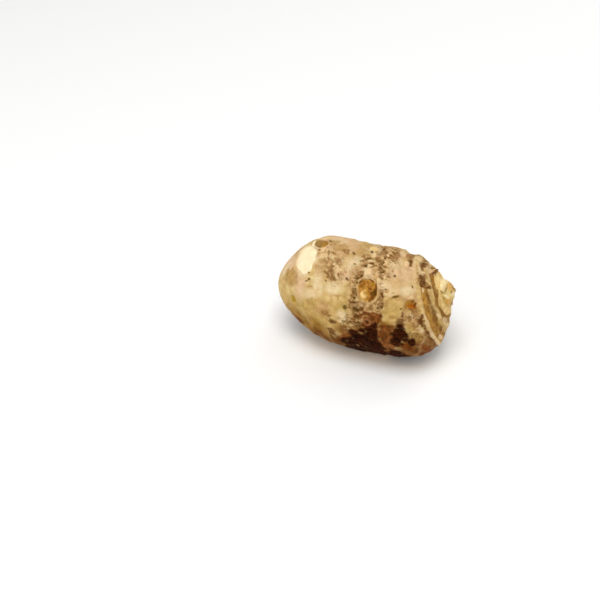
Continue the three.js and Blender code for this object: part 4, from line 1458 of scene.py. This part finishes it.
# %% Torn shoot's material
torn_material = new_material("torn leaf bases")
tree = torn_material.node_tree
colour = mottle(tree, (248, 226, 168), (218, 188, 116), 1.8)
torn_fibres = use_group(tree, fibre_group, {"Size": 1 / (0.9 * MM)})["Mask"]
colour = mixed(tree, times(tree, torn_fibres, 0.3), colour, linear(186, 144, 68))
TORN_TONES = [
    # mask, light tone, dark tone, breakage of its edge, strength
    ("foot", (222, 188, 118), (180, 140, 72), 0.5, 0.7),
    ("yellow", (218, 186, 100), (186, 150, 62), 0.6, 0.9),
    ("cream", (255, 242, 196), (248, 220, 160), 0.5, 0.97),
    ("orange", (228, 180, 100), (200, 142, 64), 0.5, 0.85),
    ("brown", (136, 98, 40), (88, 58, 20), 0.9, 0.7),
]
for name, light, dark, breakage, strength in TORN_TONES:
    share = times(tree, broken(tree, mask_of(tree, name), breakage), strength)
    colour = mixed(tree, share, colour, mottle(tree, light, dark, 1.4))
hollow = times(tree, calc(tree, "POWER", mask_of(tree, "low"), 3.0), 0.7)
colour = mixed(tree, hollow, colour, linear(140, 98, 44))
torn_grain = plus(tree, noise(tree, place_of(tree), 0.6, 4.0), torn_fibres)
finish(tree, colour, plus(tree, 0.4, times(tree, torn_fibres, 0.15)), torn_grain, 0.2 * MM)
torn_shoot.data.materials.append(torn_material)
print(torn_material.name, "has", len(tree.nodes), "nodes")

# %% [markdown]
# A dry root is dull and straw brown. Its mottling is much wider than the root is thick, so the tone changes
# from fibre to fibre and along each one.

# %% Fibres' material
fibre_material = new_material("dry root fibre")
tree = fibre_material.node_tree
colour = mottle(tree, (196, 150, 92), (104, 64, 30), 2.4)
fibre_grain = noise(tree, place_of(tree), 0.3, 2.0)
finish(tree, colour, plus(tree, 0.5, times(tree, fibre_grain, 0.2)), fibre_grain, 0.03 * MM)
root_fibres.data.materials.append(fibre_material)
print(fibre_material.name, "has", len(tree.nodes), "nodes")

# %% [markdown]
# ## Floor, light and sky
# The corm lies on a plain pale floor, which is stage and not part of the object.

# %% Floor
FLOOR = 3.0  # metres
floor_mesh = bpy.data.meshes.new("floor")
corners = [(-FLOOR, -FLOOR, 0), (FLOOR, -FLOOR, 0), (FLOOR, FLOOR, 0), (-FLOOR, FLOOR, 0)]
floor_mesh.from_pydata(corners, [], [(0, 1, 2, 3)])
floor = new_object("floor", floor_mesh)
floor_material = new_material("pale floor")
tree = floor_material.node_tree
shader = add(tree, "ShaderNodeBsdfPrincipled", {"Base Color": linear(250, 250, 249), "Roughness": 0.9})
add(tree, "ShaderNodeOutputMaterial", {"Surface": shader.outputs[0]})
floor_mesh.materials.append(floor_material)
print("floor", 2 * FLOOR, "m wide")

# %% [markdown]
# A large lamp gives soft shadows. The strongest hangs over the front, a weaker one fills in from the left, a
# third lights the rim from behind, and a pale sky does the rest, as in a bright studio.

# %% Lights
SKY_STRENGTH = 0.6
LIGHTS = [
    # name, place in metres, width in metres, watts
    ("key", (0.05, -0.25, 0.85), 0.5, 3.8),
    ("fill", (-0.6, -0.75, 0.4), 0.8, 1.8),
    ("rim", (0.3, 0.7, 0.5), 0.6, 1.2),
]


def area_light(name, place, width, watts):
    """Square soft light that looks at the corm: its back points away from the corm's middle."""
    light = bpy.data.lights.new(name, "AREA")
    light.size, light.energy = width, watts
    lamp = new_object(name, light)
    away = unit(np.array(place) - np.array([0, 0, 0.025]))
    stand(lamp, *look_from(away), away, place)


for light in LIGHTS:
    area_light(*light)
world = bpy.data.worlds.new("sky")
world.use_nodes = True
sky = world.node_tree.nodes["Background"].inputs
sky["Color"].default_value = (1.0, 1.0, 1.0, 1.0)
sky["Strength"].default_value = SKY_STRENGTH
bpy.context.scene.world = world
bpy.context.scene.view_settings.view_transform = "Standard"
print(len(LIGHTS), "lights")
